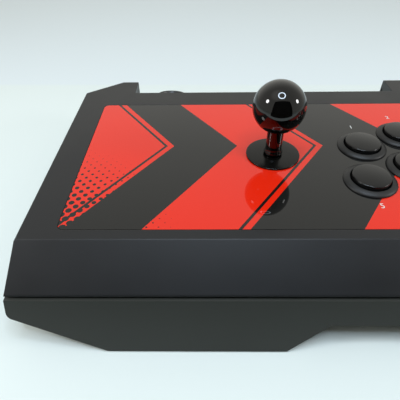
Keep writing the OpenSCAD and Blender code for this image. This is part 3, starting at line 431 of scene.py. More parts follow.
def metal(name, hex_colour, roughness, mark_mm, stretch=1.0):
    """A metal with fine marks. Stretch lengthens them along X, as brushing does."""
    material, tree = new_finish(name)
    place = add(tree, "ShaderNodeTexCoord").outputs["Object"]
    drawn = add(tree, "ShaderNodeMapping", {"Vector": place, "Scale": (1 / stretch, 1.0, 1.0)})
    marks = add(tree, "ShaderNodeTexNoise", {
        "Vector": drawn.outputs[0], "Scale": 1 / (mark_mm * MM), "Detail": 3.0})
    dull = add(tree, "ShaderNodeMapRange", {
        "Value": marks.outputs["Fac"], "To Min": roughness - MARK_SHINES,
        "To Max": roughness + MARK_DULLS})
    bump = add(tree, "ShaderNodeBump", {
        "Height": marks.outputs["Fac"], "Strength": MARK_STRENGTH,
        "Distance": MARK_DEPTH_MM * MM})
    return close_finish(material, add(tree, "ShaderNodeBsdfPrincipled", {
        "Base Color": linear(hex_colour), "Metallic": 1.0, "Roughness": dull.outputs[0],
        "Normal": bump.outputs[0]}))


# Brushed steel: long streaks that draw its highlight out. Real brush marks are about 0.1 mm
# apart, too fine to show, so they are drawn 1.1 mm apart.
sheet_steel = metal("brushed_sheet_steel", "#A9ACAE", 0.38, 1.11, stretch=30.0)

# Zinc plating: a bright, slightly cloudy grey. Its crystals are drawn coarser than they are.
zinc_steel = metal("zinc_plated_steel", "#C3C6C8", 0.3, 0.667)

# %% The circuit boards
BOARD_DARK, BOARD_LIGHT = "#1A4A30", "#205A3A"
THREAD_MM = 0.785  # from one thread of the glass cloth to the next
WAVE_LENGTH = math.tau / 20  # the wave texture's own length at a scale of 1

# Lacquered board: a deep green with the glass cloth's threads just visible through it.
board_lacquer, tree = new_finish("lacquered_glass_fibre")
place = add(tree, "ShaderNodeTexCoord").outputs["Object"]
weave = add(tree, "ShaderNodeTexWave", {
    "Vector": place, "Scale": WAVE_LENGTH / (THREAD_MM * MM), "Distortion": 0.5})
tint = add(tree, "ShaderNodeMix", {
    "Factor": weave.outputs["Fac"], 6: linear(BOARD_DARK), 7: linear(BOARD_LIGHT)},
    data_type="RGBA")
close_finish(board_lacquer, add(tree, "ShaderNodeBsdfPrincipled", {
    "Base Color": tint.outputs[2], "Roughness": 0.3}))

# %% [markdown]
# ## The printed play panel
# The panel is a clear acrylic sheet with its print on the back: a red field crossed by broad
# charcoal chevrons with pinstripes, and a corner of dots that shrink as they go. The stripes
# could be cut as shapes, but printed ink has no thickness to see, so they belong in the
# finish. Folding the sheet's Y coordinate and adding it to X bends straight stripes into
# chevrons, and one colour ramp then holds every stripe as a pair of stops.

# %% The chevrons
PRINT_RED, PRINT_CHARCOAL = "#D8240E", "#161615"
FOLD_Y, CHEVRON_LEAN = 12, 0.72
RAMP_FROM, RAMP_TO = -300, 300
# Where each charcoal stripe starts and ends along X on the fold line, in mm.
STRIPES = [(-134, -132.2), (-127, -82), (-77, -75.2), (-24, -22.2), (-17, 47), (52, 53.8),
           (118, 119.8), (125, 170), (175, 176.8)]

# Back-printed acrylic: strong, flat colours under a glassy face. The print itself is dull,
# and a clear coat stands for the sheet, which mirrors the ball and washes the colours with
# light.
print_finish, tree = new_finish("back_printed_acrylic")
metres = add(tree, "ShaderNodeTexCoord").outputs["Object"]
in_mm = add(tree, "ShaderNodeVectorMath", {0: metres, 1: (1 / MM, 1 / MM, 1 / MM)},
            operation="MULTIPLY").outputs[0]
split = add(tree, "ShaderNodeSeparateXYZ", {"Vector": in_mm})
off_fold = add(tree, "ShaderNodeMath", {0: split.outputs["Y"], 1: FOLD_Y},
               operation="SUBTRACT")
folded = add(tree, "ShaderNodeMath", {0: off_fold.outputs[0]}, operation="ABSOLUTE")
chevron = add(tree, "ShaderNodeMath", {
    0: folded.outputs[0], 1: CHEVRON_LEAN, 2: split.outputs["X"]}, operation="MULTIPLY_ADD")
share = add(tree, "ShaderNodeMapRange", {
    "Value": chevron.outputs[0], "From Min": RAMP_FROM, "From Max": RAMP_TO})
ramp = add(tree, "ShaderNodeValToRGB", {"Fac": share.outputs[0]})
ramp.color_ramp.interpolation = "CONSTANT"
for stop in ramp.color_ramp.elements:
    stop.color = linear(PRINT_RED)
for edges in STRIPES:
    for edge, ink in zip(edges, (PRINT_CHARCOAL, PRINT_RED)):
        stop = ramp.color_ramp.elements.new((edge - RAMP_FROM) / (RAMP_TO - RAMP_FROM))
        stop.color = linear(ink)
print("stripes:", len(STRIPES))

# %% The corner of dots, and the sheet's gloss
DOT_PITCH, DOT_LARGEST, DOT_EDGE = 5.0, 2.3, 0.1
DOTS_FROM = (-212, -80, PANEL_Z)  # the dots shrink with the distance from here
DOTS_NEAR, DOTS_FAR = 25.0, 95.0
DOT_ROWS_TURN = math.radians(45)
INK_ROUGHNESS = 0.6
ACRYLIC_IOR, ACRYLIC_ROUGHNESS = 1.49, 0.02

away = add(tree, "ShaderNodeVectorMath", {0: in_mm, 1: DOTS_FROM}, operation="DISTANCE")
dot_radius = add(tree, "ShaderNodeMapRange", {
    "Value": away.outputs["Value"], "From Min": DOTS_NEAR, "From Max": DOTS_FAR,
    "To Min": DOT_LARGEST, "To Max": 0.0})
turned = add(tree, "ShaderNodeMapping", {
    "Vector": in_mm, "Rotation": (0, 0, DOT_ROWS_TURN),
    "Scale": (1 / DOT_PITCH, 1 / DOT_PITCH, 0)})
cell = add(tree, "ShaderNodeVectorMath", {0: turned.outputs[0]}, operation="FRACTION")
from_middle = add(tree, "ShaderNodeVectorMath", {0: cell.outputs[0], 1: (0.5, 0.5, 0)},
                  operation="DISTANCE")
reach = add(tree, "ShaderNodeMath", {
    0: from_middle.outputs["Value"], 1: -DOT_PITCH, 2: dot_radius.outputs[0]},
    operation="MULTIPLY_ADD")
dot = add(tree, "ShaderNodeMapRange", {
    "Value": reach.outputs[0], "From Min": -DOT_EDGE, "From Max": DOT_EDGE})
print_colour = add(tree, "ShaderNodeMix", {
    "Factor": dot.outputs[0], 6: ramp.outputs["Color"], 7: linear(PRINT_CHARCOAL)},
    data_type="RGBA")
close_finish(print_finish, add(tree, "ShaderNodeBsdfPrincipled", {
    "Base Color": print_colour.outputs[2], "Roughness": INK_ROUGHNESS,
    "Specular IOR Level": 0.0, "Coat Weight": 1.0, "Coat Roughness": ACRYLIC_ROUGHNESS,
    "Coat IOR": ACRYLIC_IOR}))

# %% [markdown]
# ## Finishes on the parts that keep their solids
# Most parts need no new shape: a flat shell or a plate looks the same however finely it is
# rebuilt, and a rebuilt one could drift from its solid. So these keep their meshes, and
# only the material in their slot is replaced.

# %% Hand out the finishes
KEPT = {
    case_abs: ["upper_shell", "control_panel"],
    lower_abs_painted_light: ["lower_shell", "cable_door"],
    print_finish: ["play_panel"],
    sheet_steel: ["base_cover", "steel_plate", "lever_mount"],
    zinc_steel: ["door_pin", "lever_shaft", "e_clip", "spring_seat", "lever_spring",
                 "lever_screws", "plate_screws"],
    washer_plastic: ["lower_dust_disc"],
    housing_plastic: ["lever_housing"],
    natural_nylon: ["pivot_ball", "actuator", "restrictor_gate"],
    switch_plastic: ["lever_switches", "control_switches"],
    switch_red_plastic: ["button_switches"],
    board_lacquer: ["main_board", "control_board", "lever_board"],
    moulded_rubber: ["cable_gland"],
}
for material, names in KEPT.items():
    for name in names:
        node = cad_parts[name]
        node.data.materials.clear()
        node.data.materials.append(material)
print("parts with new finishes:", sum(len(names) for names in KEPT.values()))

# %% [markdown]
# ## Turned shapes
# The ball, the shaft's cover, the washer, the rims and the caps are all turned: one outline
# spun round an axis. A Screw modifier would spin it too, but it can leave doubled points
# where the outline meets the axis. The helper builds the rings of points itself, with one
# point at a pole, and then marks edges as sharp by their angle.

# %% Spin an outline
ON_AXIS = 1e-6
SHARP_FROM = math.radians(35)


def arc(centre_r, centre_z, radius, start, end, steps=8):
    """Points (radius, height) along an arc, with its angles in degrees."""
    angles = [math.radians(start + (end - start) * i / steps) for i in range(steps + 1)]
    return [(centre_r + radius * math.cos(angle), centre_z + radius * math.sin(angle))
            for angle in angles]


def mesh_from(shape, name):
    """Turns a finished bmesh into a mesh."""
    mesh = bpy.data.meshes.new(name)
    shape.to_mesh(mesh)
    shape.free()
    return mesh


def spun(name, outline, steps=96):
    """A closed solid of revolution, from an outline of (radius, height) in mm."""
    shape = bmesh.new()
    rings = []
    for radius, height in outline:
        if radius < ON_AXIS:
            rings.append([shape.verts.new((0, 0, height * MM))] * steps)
            continue
        angles = [math.tau * i / steps for i in range(steps)]
        rings.append([shape.verts.new((radius * MM * math.cos(angle),
                                       radius * MM * math.sin(angle), height * MM))
                      for angle in angles])
    pairs = list(zip(rings, rings[1:]))
    if outline[0][0] > ON_AXIS:
        pairs.append((rings[-1], rings[0]))
    for low, high in pairs:
        for i in range(steps):
            j = (i + 1) % steps
            corners = list(dict.fromkeys((low[i], low[j], high[j], high[i])))
            if len(corners) > 2:
                shape.faces.new(corners)
    bmesh.ops.recalc_face_normals(shape, faces=shape.faces)
    mesh = mesh_from(shape, name)
    mesh.shade_smooth()
    mesh.set_sharp_from_angle(angle=SHARP_FROM)
    return mesh


# %% Make a mesh a piece of the object
def put(name, mesh, material, body, replaced=(), matrix=None):
    """Places a mesh, gives its finish, says what it rides on, and hides the solids that it
    replaces.
    """
    if matrix is not None:
        mesh.transform(matrix)
    mesh.materials.clear()
    mesh.materials.append(material)
    piece = bpy.data.objects.new(name, mesh)
    bpy.context.scene.collection.objects.link(piece)
    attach(piece, body)
    if replaced:
        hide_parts(*replaced)
    print("piece:", name, "faces:", len(mesh.polygons))


def moved(x, y, z):
    """A move in mm."""
    return Matrix.Translation(Vector((x, y, z)) * MM)

# %% [markdown]
# ## The lever
# The ball top is 35 mm across and sits on a narrow cover that hides the steel shaft. Near the
# panel the cover flares into a collar, just over the dust washer. A stock sphere has square
# faces crowded at its poles and no seat for the cover, so the ball is turned like the rest,
# with a round seat in its underside that the cover enters.

# %% The ball top
LEVER_X, LEVER_Y, _ = middle_mm("lever_shaft")
BALL_R = 17.5
BALL_Z = box_mm("ball_top")[1][2] - BALL_R
COVER_R = 5.65
SEAT_DEPTH = 1  # how far the cover enters the ball
SEAT_R, SEAT_LIP_R, SEAT_LIP_H = COVER_R + 0.05, COVER_R + 0.6, 0.9

seat_z = BALL_Z - math.sqrt(BALL_R ** 2 - COVER_R ** 2) + SEAT_DEPTH
lip_angle = math.degrees(math.atan2(-math.sqrt(BALL_R ** 2 - SEAT_LIP_R ** 2), SEAT_LIP_R))
ball_outline = ([(0, seat_z), (SEAT_R, seat_z), (SEAT_R, seat_z - SEAT_LIP_H)]
                + arc(0, BALL_Z, BALL_R, lip_angle, 90, steps=64)[:-1] + [(0, BALL_Z + BALL_R)])
ball = spun("ball_top_turned", ball_outline, steps=128)
at_lever = moved(LEVER_X, LEVER_Y, 0)
put("ball_top_turned", ball, ball_gloss, "lever", ["ball_top"], at_lever)

# %% The shaft's cover
SHAFT_R, NECK_R = 4.8, 5.2
NECK_FROM, NECK_TO, NECK_CONE_TO = 46.0, 48.6, 49.4  # heights over the table
COLLAR_R, COLLAR_Z = 6.65, 56.0
COLLAR = [(COLLAR_R - 0.1, 0), (COLLAR_R, 0.1), (COLLAR_R, 0.5), (COVER_R + 0.4, 1.9),
          (COVER_R + 0.1, 3.0), (COVER_R, 4.2)]  # radius, and height over its underside

cover_outline = ([(SHAFT_R, NECK_FROM), (NECK_R, NECK_FROM), (NECK_R, NECK_TO),
                  (COVER_R, NECK_CONE_TO), (COVER_R, COLLAR_Z)]
                 + [(radius, COLLAR_Z + height) for radius, height in COLLAR]
                 + [(COVER_R, seat_z), (SHAFT_R, seat_z)])
put("shaft_cover_turned", spun("shaft_cover_turned", cover_outline), cover_gloss, "lever",
    ["shaft_cover"], at_lever)

# %% [markdown]
# ## The dust washer
# A thin loose disc lies on the panel, slides along as the lever tilts and keeps the panel's
# hole covered. A flat ring would do, but its edge would have no highlight, so its outline
# has a small round at the foot and a larger one at the top, as a moulded disc has.

# %% The dust washer
WASHER_R, WASHER_T, WASHER_HOLE_R = 19, 1.2, 6.15
FOOT_ROUND, TOP_ROUND = 0.3, 0.45

washer_z = box_mm("dust_washer")[0][2]
washer_outline = (
    [(WASHER_HOLE_R, 0), (WASHER_R - FOOT_ROUND, 0)]
    + arc(WASHER_R - FOOT_ROUND, FOOT_ROUND, FOOT_ROUND, -90, 0, steps=4)
    + arc(WASHER_R - TOP_ROUND, WASHER_T - TOP_ROUND, TOP_ROUND, 0, 85)
    + [(WASHER_HOLE_R + FOOT_ROUND, WASHER_T), (WASHER_HOLE_R, WASHER_T - FOOT_ROUND)])
put("dust_washer_turned", spun("dust_washer_turned", washer_outline), washer_plastic,
    "dust_washer", ["dust_washer"], moved(LEVER_X, LEVER_Y, washer_z))
print("washer lies", round(washer_z - PANEL_Z, 2), "mm over the panel")

# %% [markdown]
# ## The push buttons
# Each button is a round housing with a soft, raised rim, and a cap that stands a few
# millimetres over it with a thin dark gap between. The eight rims could be copied in a loop,
# but a small node tree says it more plainly: put one shape on every point, make the copies
# real, and give them a finish. Its inputs are the shape, the turn from one copy to the next
# and the finish, so the same tree serves for the screws, the feet and more. Every cap moves
# by itself, so each of those is its own piece.

# %% Places of the buttons
BUTTONS = 8
button_places = [middle_mm(f"button_housing_{i}")[:2] for i in range(1, BUTTONS + 1)]
print("buttons:", button_places)


# %% A node tree that repeats a shape
def repeated(name, shape, places, material, turn_per_copy=0.0):
    """One mesh with a copy of a shape at each place in mm, made by Geometry Nodes."""
    points = bpy.data.meshes.new(name + "_places")
    points.from_pydata([Vector(place) * MM for place in places], [], [])
    holder = bpy.data.objects.new(name + "_holder", points)
    source = bpy.data.objects.new(name + "_source", shape)
    bpy.context.scene.collection.objects.link(holder)
    group = bpy.data.node_groups.new(name + "_tree", "GeometryNodeTree")
    face = group.interface
    face.new_socket("Geometry", in_out="INPUT", socket_type="NodeSocketGeometry")
    shape_in = face.new_socket("Shape", in_out="INPUT", socket_type="NodeSocketObject")
    turn_in = face.new_socket("Turn per copy", in_out="INPUT", socket_type="NodeSocketFloat")
    finish_in = face.new_socket("Finish", in_out="INPUT", socket_type="NodeSocketMaterial")
    face.new_socket("Geometry", in_out="OUTPUT", socket_type="NodeSocketGeometry")
    start = add(group, "NodeGroupInput")
    piece = add(group, "GeometryNodeObjectInfo", {"Object": start.outputs["Shape"]})
    number = add(group, "GeometryNodeInputIndex")
    angle = add(group, "ShaderNodeMath", {
        0: number.outputs[0], 1: start.outputs["Turn per copy"]}, operation="MULTIPLY")
    turn = add(group, "ShaderNodeCombineXYZ", {"Z": angle.outputs[0]})
    copies = add(group, "GeometryNodeInstanceOnPoints", {
        "Points": start.outputs["Geometry"], "Instance": piece.outputs["Geometry"],
        "Rotation": turn.outputs[0]})
    real = add(group, "GeometryNodeRealizeInstances", {"Geometry": copies.outputs[0]})
    finished = add(group, "GeometryNodeSetMaterial", {
        "Geometry": real.outputs[0], "Material": start.outputs["Finish"]})
    add(group, "NodeGroupOutput", {"Geometry": finished.outputs[0]})
    modifier = holder.modifiers.new("copies", "NODES")
    modifier.node_group = group
    modifier[shape_in.identifier] = source
    modifier[turn_in.identifier] = turn_per_copy
    modifier[finish_in.identifier] = material
    shown = holder.evaluated_get(bpy.context.evaluated_depsgraph_get())
    mesh = bpy.data.meshes.new_from_object(shown)
    mesh.name = name
    holder.modifiers.remove(modifier)
    bpy.data.objects.remove(holder)
    bpy.data.objects.remove(source)
    print(name, "copies:", len(places))
    return mesh


# %% The rims
RIM_R, RIM_H, RIM_INNER_R = 17.3, 2.6, 13.1
BARREL_R, BARREL_BOTTOM, BARREL_FLOOR, BARREL_HOLE_R = 14.8, -20, -18.5, 3
RIM_SLOPE = [(0.2, 0), (0, 0.15), (0, 0.45), (0.25, 0.95), (0.8, 1.45), (1.5, 1.85),
             (2.3, 2.2), (3.1, 2.48)]  # inwards from the rim's edge, and up
RIM_LIP = [(0.6, 0), (0.25, 0.04), (0.05, 0.2), (0, 0.5)]  # outwards from the hole, and down

rim_outline = ([(BARREL_HOLE_R, BARREL_BOTTOM), (BARREL_R, BARREL_BOTTOM), (BARREL_R, 0)]
               + [(RIM_R - inset, height) for inset, height in RIM_SLOPE]
               + [(RIM_INNER_R + out, RIM_H - down) for out, down in RIM_LIP]
               + [(RIM_INNER_R, BARREL_FLOOR), (BARREL_HOLE_R, BARREL_FLOOR)])
rims = repeated("button_rims", spun("rim", rim_outline),
                [(x, y, PANEL_Z) for x, y in button_places], button_plastic)
put("button_rims", rims, button_plastic, "case",
    [f"button_housing_{i}" for i in range(1, BUTTONS + 1)])

# %% The caps
CAP_R, CAP_H, CAP_EDGE, DOME_H = 12.3, 4.9, 0.7, 1.0
CAP_INNER_R, CAP_CEILING, CAP_SKIRT = 10.7, 3.3, -5.1
PLUNGER_R, PLUNGER_BOTTOM = 2, -16.2
DOME_RADII = (10.2, 8.5, 6.5, 4.5, 2.5, 1.0, 0)


def dome_height(radius):
    """The height of the cap's gently domed top, which falls away as the square."""
    return CAP_H + DOME_H * (1 - (radius / CAP_R) ** 2)


edge_top = dome_height(CAP_R - CAP_EDGE)
cap_outline = ([(0, PLUNGER_BOTTOM), (PLUNGER_R, PLUNGER_BOTTOM), (PLUNGER_R, CAP_CEILING),
                (CAP_INNER_R, CAP_CEILING), (CAP_INNER_R, CAP_SKIRT), (CAP_R, CAP_SKIRT)]
               + arc(CAP_R - CAP_EDGE, edge_top - CAP_EDGE, CAP_EDGE, 0, 80)
               + [(radius, dome_height(radius)) for radius in DOME_RADII])
for i, (x, y) in enumerate(button_places, 1):
    put(f"cap_{i}", spun(f"cap_{i}", cap_outline), cap_plastic, f"button_{i}",
        [f"button_cap_{i}"], moved(x, y, PANEL_Z))

# %% [markdown]
# ## The numbers
# A small printed number stands behind each button of the far row and in front of each button
# of the near row. It could be drawn in the panel's finish, but digits are hard to build from
# shader nodes. Text is a shape in Blender, so it is made a mesh, which also exports, and
# lies just on the sheet, about as thick as a layer of ink.

# %% The ink
INK_COLOUR, INK_GRAIN_MM = "#CFCFCB", 0.4
INK_SMOOTH, INK_ROUGH = 0.45, 0.6

# Screen-printed ink: an opaque off-white, its shine broken up by the mesh that it came through.
ink_white, tree = new_finish("screen_printed_ink")
place = add(tree, "ShaderNodeTexCoord").outputs["Object"]
grains = add(tree, "ShaderNodeTexNoise", {"Vector": place, "Scale": 1 / (INK_GRAIN_MM * MM)})
dull = add(tree, "ShaderNodeMapRange", {
    "Value": grains.outputs["Fac"], "To Min": INK_SMOOTH, "To Max": INK_ROUGH})
close_finish(ink_white, add(tree, "ShaderNodeBsdfPrincipled", {
    "Base Color": linear(INK_COLOUR), "Roughness": dull.outputs[0]}))

# %% Printed numbers
FIGURE_H, FIGURE_T, FIGURE_GAP = 6.0, 0.02, 0.01
FIGURE_BEHIND, FIGURE_IN_FRONT = 27, -23.8  # from the middle of the button
FAR_ROW = 4  # the first four buttons


def figure(text, x, y):
    """A printed number that lies on the panel."""
    curve = bpy.data.curves.new("figure_" + text, "FONT")
    curve.body = text
    curve.size = FIGURE_H * MM
    curve.extrude = FIGURE_T / 2 * MM
    curve.align_x = "CENTER"
    curve.align_y = "CENTER"
    holder = bpy.data.objects.new("figure", curve)
    bpy.context.scene.collection.objects.link(holder)
    shown = holder.evaluated_get(bpy.context.evaluated_depsgraph_get())
    mesh = bpy.data.meshes.new_from_object(shown)
    bpy.data.objects.remove(holder)
    mesh.name = "figure_" + text
    put("figure_" + text, mesh, ink_white, "case",
        matrix=moved(x, y, PANEL_Z + FIGURE_GAP + FIGURE_T / 2))


for i, (x, y) in enumerate(button_places, 1):
    figure(str(i), x, y + (FIGURE_BEHIND if i <= FAR_ROW else FIGURE_IN_FRONT))

# %% [markdown]
# ## The rear controls
# Behind the play panel the case drops away in a slope that carries the small controls: a
# home button in a raised ring, four small buttons, two slide switches and four lamps. Each
# could be modelled where it sits, but then no height in it could be read off the drawing.
# Their outlines are spun upright, and one matrix then leans and places them. Each one's
# place across the slope is a share of the recess's width, so they spread out with it.

# %% The slope's own frame
RECESS_CLEARANCE = 0.4  # both sides together
SLOPE_Y, SLOPE_TOP = 97.5, 51
SLOPE_FALL, SLOPE_RUN = 20, 22.75

panel_low, panel_high = box_mm("control_panel")
RECESS_X = middle_mm("control_panel")[0]
RECESS_W = panel_high[0] - panel_low[0] + RECESS_CLEARANCE
slope_angle = math.atan2(SLOPE_FALL, SLOPE_RUN)
slope_middle = math.hypot(SLOPE_FALL, SLOPE_RUN) / 2


def on_slope(x, along):
    """The placing of a shape on the slope: X across, and how far down along it."""
    lean = Matrix.Rotation(-slope_angle, 4, "X")
    return moved(0, SLOPE_Y, SLOPE_TOP) @ lean @ moved(x, along, 0)


def across(share):
    """How far along X a share of the recess's width lies."""
    return RECESS_X + (share - 0.5) * RECESS_W


print("slope angle", round(math.degrees(slope_angle), 1), "recess width", RECESS_W)

# %% The ring and the home button
HOME_SHARE, HOME_R, HOME_GAP = 0.1388, 8.6, 0.3
RING_R, RING_H, RING_ROUND, RING_HOLE_R = 13.6, 4.2, 1.4, HOME_R + HOME_GAP
RING_DISH = [(RING_R - 2.2, RING_H - 0.02), (HOME_R + 0.9, 3.1), (RING_HOLE_R, 2.8)]
RING_FROM_EDGE = 0.1  # the ring's gap to the upper edge of the slope
STEM_R, STEM_BOTTOM = 2, -4.5
HOME_SHOULDER_H, HOME_CHAMFER, HOME_ROUND, HOME_ROUND_H = 1.1, 0.2, 0.6, 2.2
HOME_DOME = [(6.5, 3.05), (4, 3.3), (2, 3.42), (0, 3.46)]

at_home = on_slope(across(HOME_SHARE), RING_R + RING_FROM_EDGE)
ring_outline = ([(RING_HOLE_R, 0), (RING_R, 0)]
                + arc(RING_R - RING_ROUND, RING_H - RING_ROUND, RING_ROUND, 0, 90) + RING_DISH)
put("home_ring_turned", spun("home_ring_turned", ring_outline), ring_gloss, "case",
    ["home_ring"], at_home)
home_outline = ([(0, STEM_BOTTOM), (STEM_R, STEM_BOTTOM), (STEM_R, HOME_SHOULDER_H),
                 (HOME_R - HOME_CHAMFER, HOME_SHOULDER_H),
                 (HOME_R, HOME_SHOULDER_H + HOME_CHAMFER)]
                + arc(HOME_R - HOME_ROUND, HOME_ROUND_H, HOME_ROUND, 0, 75, steps=5)
                + HOME_DOME)
put("home_button_turned", spun("home_button_turned", home_outline), home_smoke, "home_button",
    ["home_button"], at_home)

# %% The small buttons
SMALL_SHARES = (0.2888, 0.3573, 0.4258, 0.4943)
SMALL_R, SMALL_ROUND, SMALL_ROUND_H = 4.2, 0.5, 1.1
SMALL_FLANGE_R, FLANGE_BOTTOM, FLANGE_TOP = 5.6, -3.5, -2.7
SMALL_DISH = [(2.6, 1.5), (1.2, 1.42), (0, 1.4)]  # hollowed a little, to hold a fingertip

small_outline = ([(0, STEM_BOTTOM), (STEM_R, STEM_BOTTOM), (STEM_R, FLANGE_BOTTOM),
                  (SMALL_FLANGE_R, FLANGE_BOTTOM), (SMALL_FLANGE_R, FLANGE_TOP),
                  (SMALL_R, FLANGE_TOP)]
                 + arc(SMALL_R - SMALL_ROUND, SMALL_ROUND_H, SMALL_ROUND, 0, 80, steps=5)
                 + SMALL_DISH)
for i, share in enumerate(SMALL_SHARES, 1):
    small = spun(f"small_cap_{i}", small_outline, steps=48)
    put(f"small_cap_{i}", small, cap_plastic, f"small_button_{i}", [f"small_button_{i}"],
        on_slope(across(share), slope_middle))

# %% [markdown]
# ## Slide knobs and lamps
# A slide knob is a small block with four ribs that a fingernail catches, on a flange that
# keeps it in its slot. The ribs repeat, so the node tree places them. The parts could be
# fused by a boolean, but they only need to move and be finished as one, so their faces are
# simply gathered in one mesh. The lamps are four small domed lenses.


# %% Blocks
def block(low, high, bevel=0.0):
    """A box in mm between two corners, with its edges lightly broken."""
    shape = bmesh.new()
    bmesh.ops.create_cube(shape, size=1)
    for v in shape.verts:
        v.co = Vector([(low[k] + high[k]) / 2 + v.co[k] * (high[k] - low[k])
                       for k in range(3)]) * MM
    if bevel:
        bmesh.ops.bevel(shape, geom=shape.edges[:], offset=bevel * MM, segments=2,
                        affect="EDGES", profile=0.5)
    return mesh_from(shape, "block")


def joined(name, meshes):
    """Several meshes as one."""
    shape = bmesh.new()
    for mesh in meshes:
        shape.from_mesh(mesh)
    return mesh_from(shape, name)


# %% Slide knobs
SLIDER_SHARES = (0.6315, 0.7429)
KNOB_REST = -2  # at rest a knob stands left of the middle of its slot
KNOB_FLANGE = ((-4.5, -2.7, -3.9), (4.5, 2.7, -2.7))
KNOB_GRIP, GRIP_BEVEL = ((-2, -1.5, -2.7), (2, 1.5, 1.5)), 0.2
KNOB_RIB, RIB_BEVEL = ((-0.25, -1.35, 0), (0.25, 1.35, 0.35)), 0.1
RIB_PITCH, RIB_Z = 0.9, 1.45
RIB_STEPS = (-1.5, -0.5, 0.5, 1.5)

for i, share in enumerate(SLIDER_SHARES, 1):
    ribs = repeated(f"knob_ribs_{i}", block(*KNOB_RIB, RIB_BEVEL),
                    [(RIB_PITCH * step, 0, RIB_Z) for step in RIB_STEPS], knob_plastic)
    knob = joined(f"slide_knob_{i}_ribbed",
                  [block(*KNOB_FLANGE), block(*KNOB_GRIP, GRIP_BEVEL), ribs])
    put(f"slide_knob_{i}_ribbed", knob, knob_plastic, f"slide_knob_{i}", [f"slide_knob_{i}"],
        on_slope(across(share) + KNOB_REST, slope_middle))

# %% Lamps
LIGHT_SHARES = (0.8458, 0.8801, 0.9144, 0.9487)
LENS_OUTLINE = [(0, -6.7), (1.6, -6.7), (1.6, -2.7), (1.25, -2.7), (1.25, -0.2), (0.9, 0),
                (0, 0.05)]  # a flange behind the slope, and a low dome just flush with it

lenses = repeated("lamp_lenses", spun("lens", LENS_OUTLINE, steps=24),
                  [(across(share), 0, 0) for share in LIGHT_SHARES], lamp_lens)
put("lamp_lenses", lenses, lamp_lens, "case", ["indicator_lights"],
    on_slope(0, slope_middle))

# %% [markdown]
# ## Screws
# The case is held by ten cross-head screws in deep wells, and the base cover by eight small
# ones. The cross could be cut from the head by a boolean, but that leaves ragged faces on a
# shape this small. It is built the other way: the head is turned with a round pit, and four
# corner blocks fill the pit and leave a cross between them. A fitter never stops two screws
# at the same angle, so each copy is turned a little further than the one before.


# %% A cross-head screw
PIT_SHARE, FILL_SHARE, CROWN_SHARE = 0.55, 0.42, 0.8  # of the head's radius
FACE_SHARE, CROWN_FACE_SHARE, SIDE_SHARE = 0.12, 0.18, 0.5  # of the head's height


def cross_screw(head_r, head_h, shank_r, shank_l, slot_w, slot_d):
    """A pan head that faces down, with a cross recess, and a plain shank going up."""
    pit_r, filled_to = head_r * PIT_SHARE, head_r * FILL_SHARE
    face_z = head_h * FACE_SHARE
    outline = [(0, slot_d), (pit_r, slot_d), (pit_r, face_z),
               (head_r * CROWN_SHARE, head_h * CROWN_FACE_SHARE),
               (head_r, head_h * SIDE_SHARE), (head_r, head_h), (shank_r, head_h),
               (shank_r, shank_l), (0, shank_l)]
    corners = []
    for k in range(4):
        corner = block((slot_w / 2, slot_w / 2, face_z), (filled_to, filled_to, slot_d))
        corner.transform(Matrix.Rotation(math.pi / 2 * k, 4, "Z"))
        corners.append(corner)
    return joined("screw", [spun("screw", outline, steps=32)] + corners)


# %% The case screws
SIDES = (-1, 1)
FRONT_POST_XS, FRONT_POST_Y = (180, 75.5), -90.95
SIDE_POST_X, SIDE_POST_YS = 209.5, (-19.96, 80.09)
REAR_POST_IN, REAR_POST_Y = 6.5, 112.5
CASE_HEAD_Z, CASE_TURN = 21.1, 0.7

case_screw_places = ([(side * x, FRONT_POST_Y) for side in SIDES for x in FRONT_POST_XS]
                     + [(side * SIDE_POST_X, y) for side in SIDES for y in SIDE_POST_YS]
                     + [(RECESS_X + side * (RECESS_W / 2 + REAR_POST_IN), REAR_POST_Y)
                        for side in SIDES])
case_screw = cross_screw(head_r=3.5, head_h=2.4, shank_r=1.5, shank_l=18.4, slot_w=0.8,
                         slot_d=1.4)
screws = repeated("case_screws_cross", case_screw,
                  [(x, y, CASE_HEAD_Z) for x, y in case_screw_places], zinc_steel, CASE_TURN)
put("case_screws_cross", screws, zinc_steel, "case", ["case_screws"])

# %% The base cover's screws
COVER_RIM = 4  # from the cover's edge to the middle of a screw
DEPTH_SHARES, WIDTH_SHARES = (-0.36, 0.36), (-0.3, 0.3)
BASE_TURN = 0.9

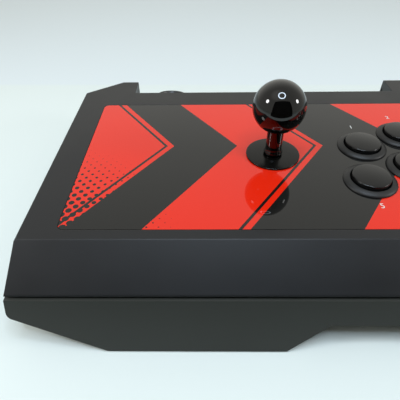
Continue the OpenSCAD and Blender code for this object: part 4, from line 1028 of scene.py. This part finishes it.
cover_low, cover_high = box_mm("base_cover")
cover_x, cover_y, _ = middle_mm("base_cover")
cover_w = cover_high[0] - cover_low[0]
cover_d = cover_high[1] - cover_low[1]
base_screw_places = ([(cover_x + side * (cover_w / 2 - COVER_RIM), cover_y + share * cover_d)
                      for side in SIDES for share in DEPTH_SHARES]
                     + [(cover_x + share * cover_w, cover_y + side * (cover_d / 2 - COVER_RIM))
                        for side in SIDES for share in WIDTH_SHARES])
base_screw = cross_screw(head_r=2.6, head_h=0.9, shank_r=1.2, shank_l=6.0, slot_w=0.6,
                         slot_d=0.6)
screws = repeated("base_screws_cross", base_screw,
                  [(x, y, cover_low[2]) for x, y in base_screw_places], zinc_steel, BASE_TURN)
put("base_screws_cross", screws, zinc_steel, "case", ["base_screws"])

# %% [markdown]
# ## Rubber feet
# The stick stands on six round rubber feet, moulded with two raised rings and a raised edge
# that grip the table. The rings could be a bump in the finish, but they are broad enough to
# show their own edges from below, so they are in the outline that is spun.

# %% Rubber feet
FOOT_R, FOOT_ROUND_R, GROOVE = 11, 0.5, 0.35
FOOT_RINGS = [(0, GROOVE), (3.0, GROOVE), (3.3, 0), (5.4, 0), (5.7, GROOVE), (6.3, GROOVE),
              (6.6, 0), (8.7, 0), (9.0, 0.3), (9.4, 0.3), (9.7, 0)]
FRONT_FEET_Y, REAR_FEET_Y = -98.25, 103.25
CORNER_FEET_X, MIDDLE_FEET_X = 147.2, 147.2 / 3

foot_t = box_mm("rubber_feet")[1][2]
foot_outline = (FOOT_RINGS
                + arc(FOOT_R - FOOT_ROUND_R, FOOT_ROUND_R, FOOT_ROUND_R, -90, 0, steps=4)
                + [(FOOT_R, foot_t), (0, foot_t)])
foot_places = ([(side * CORNER_FEET_X, y, 0) for side in SIDES
                for y in (FRONT_FEET_Y, REAR_FEET_Y)]
               + [(side * MIDDLE_FEET_X, REAR_FEET_Y, 0) for side in SIDES])
feet = repeated("rubber_feet_turned", spun("foot", foot_outline, steps=64), foot_places,
                moulded_rubber)
put("rubber_feet_turned", feet, moulded_rubber, "case", ["rubber_feet"])
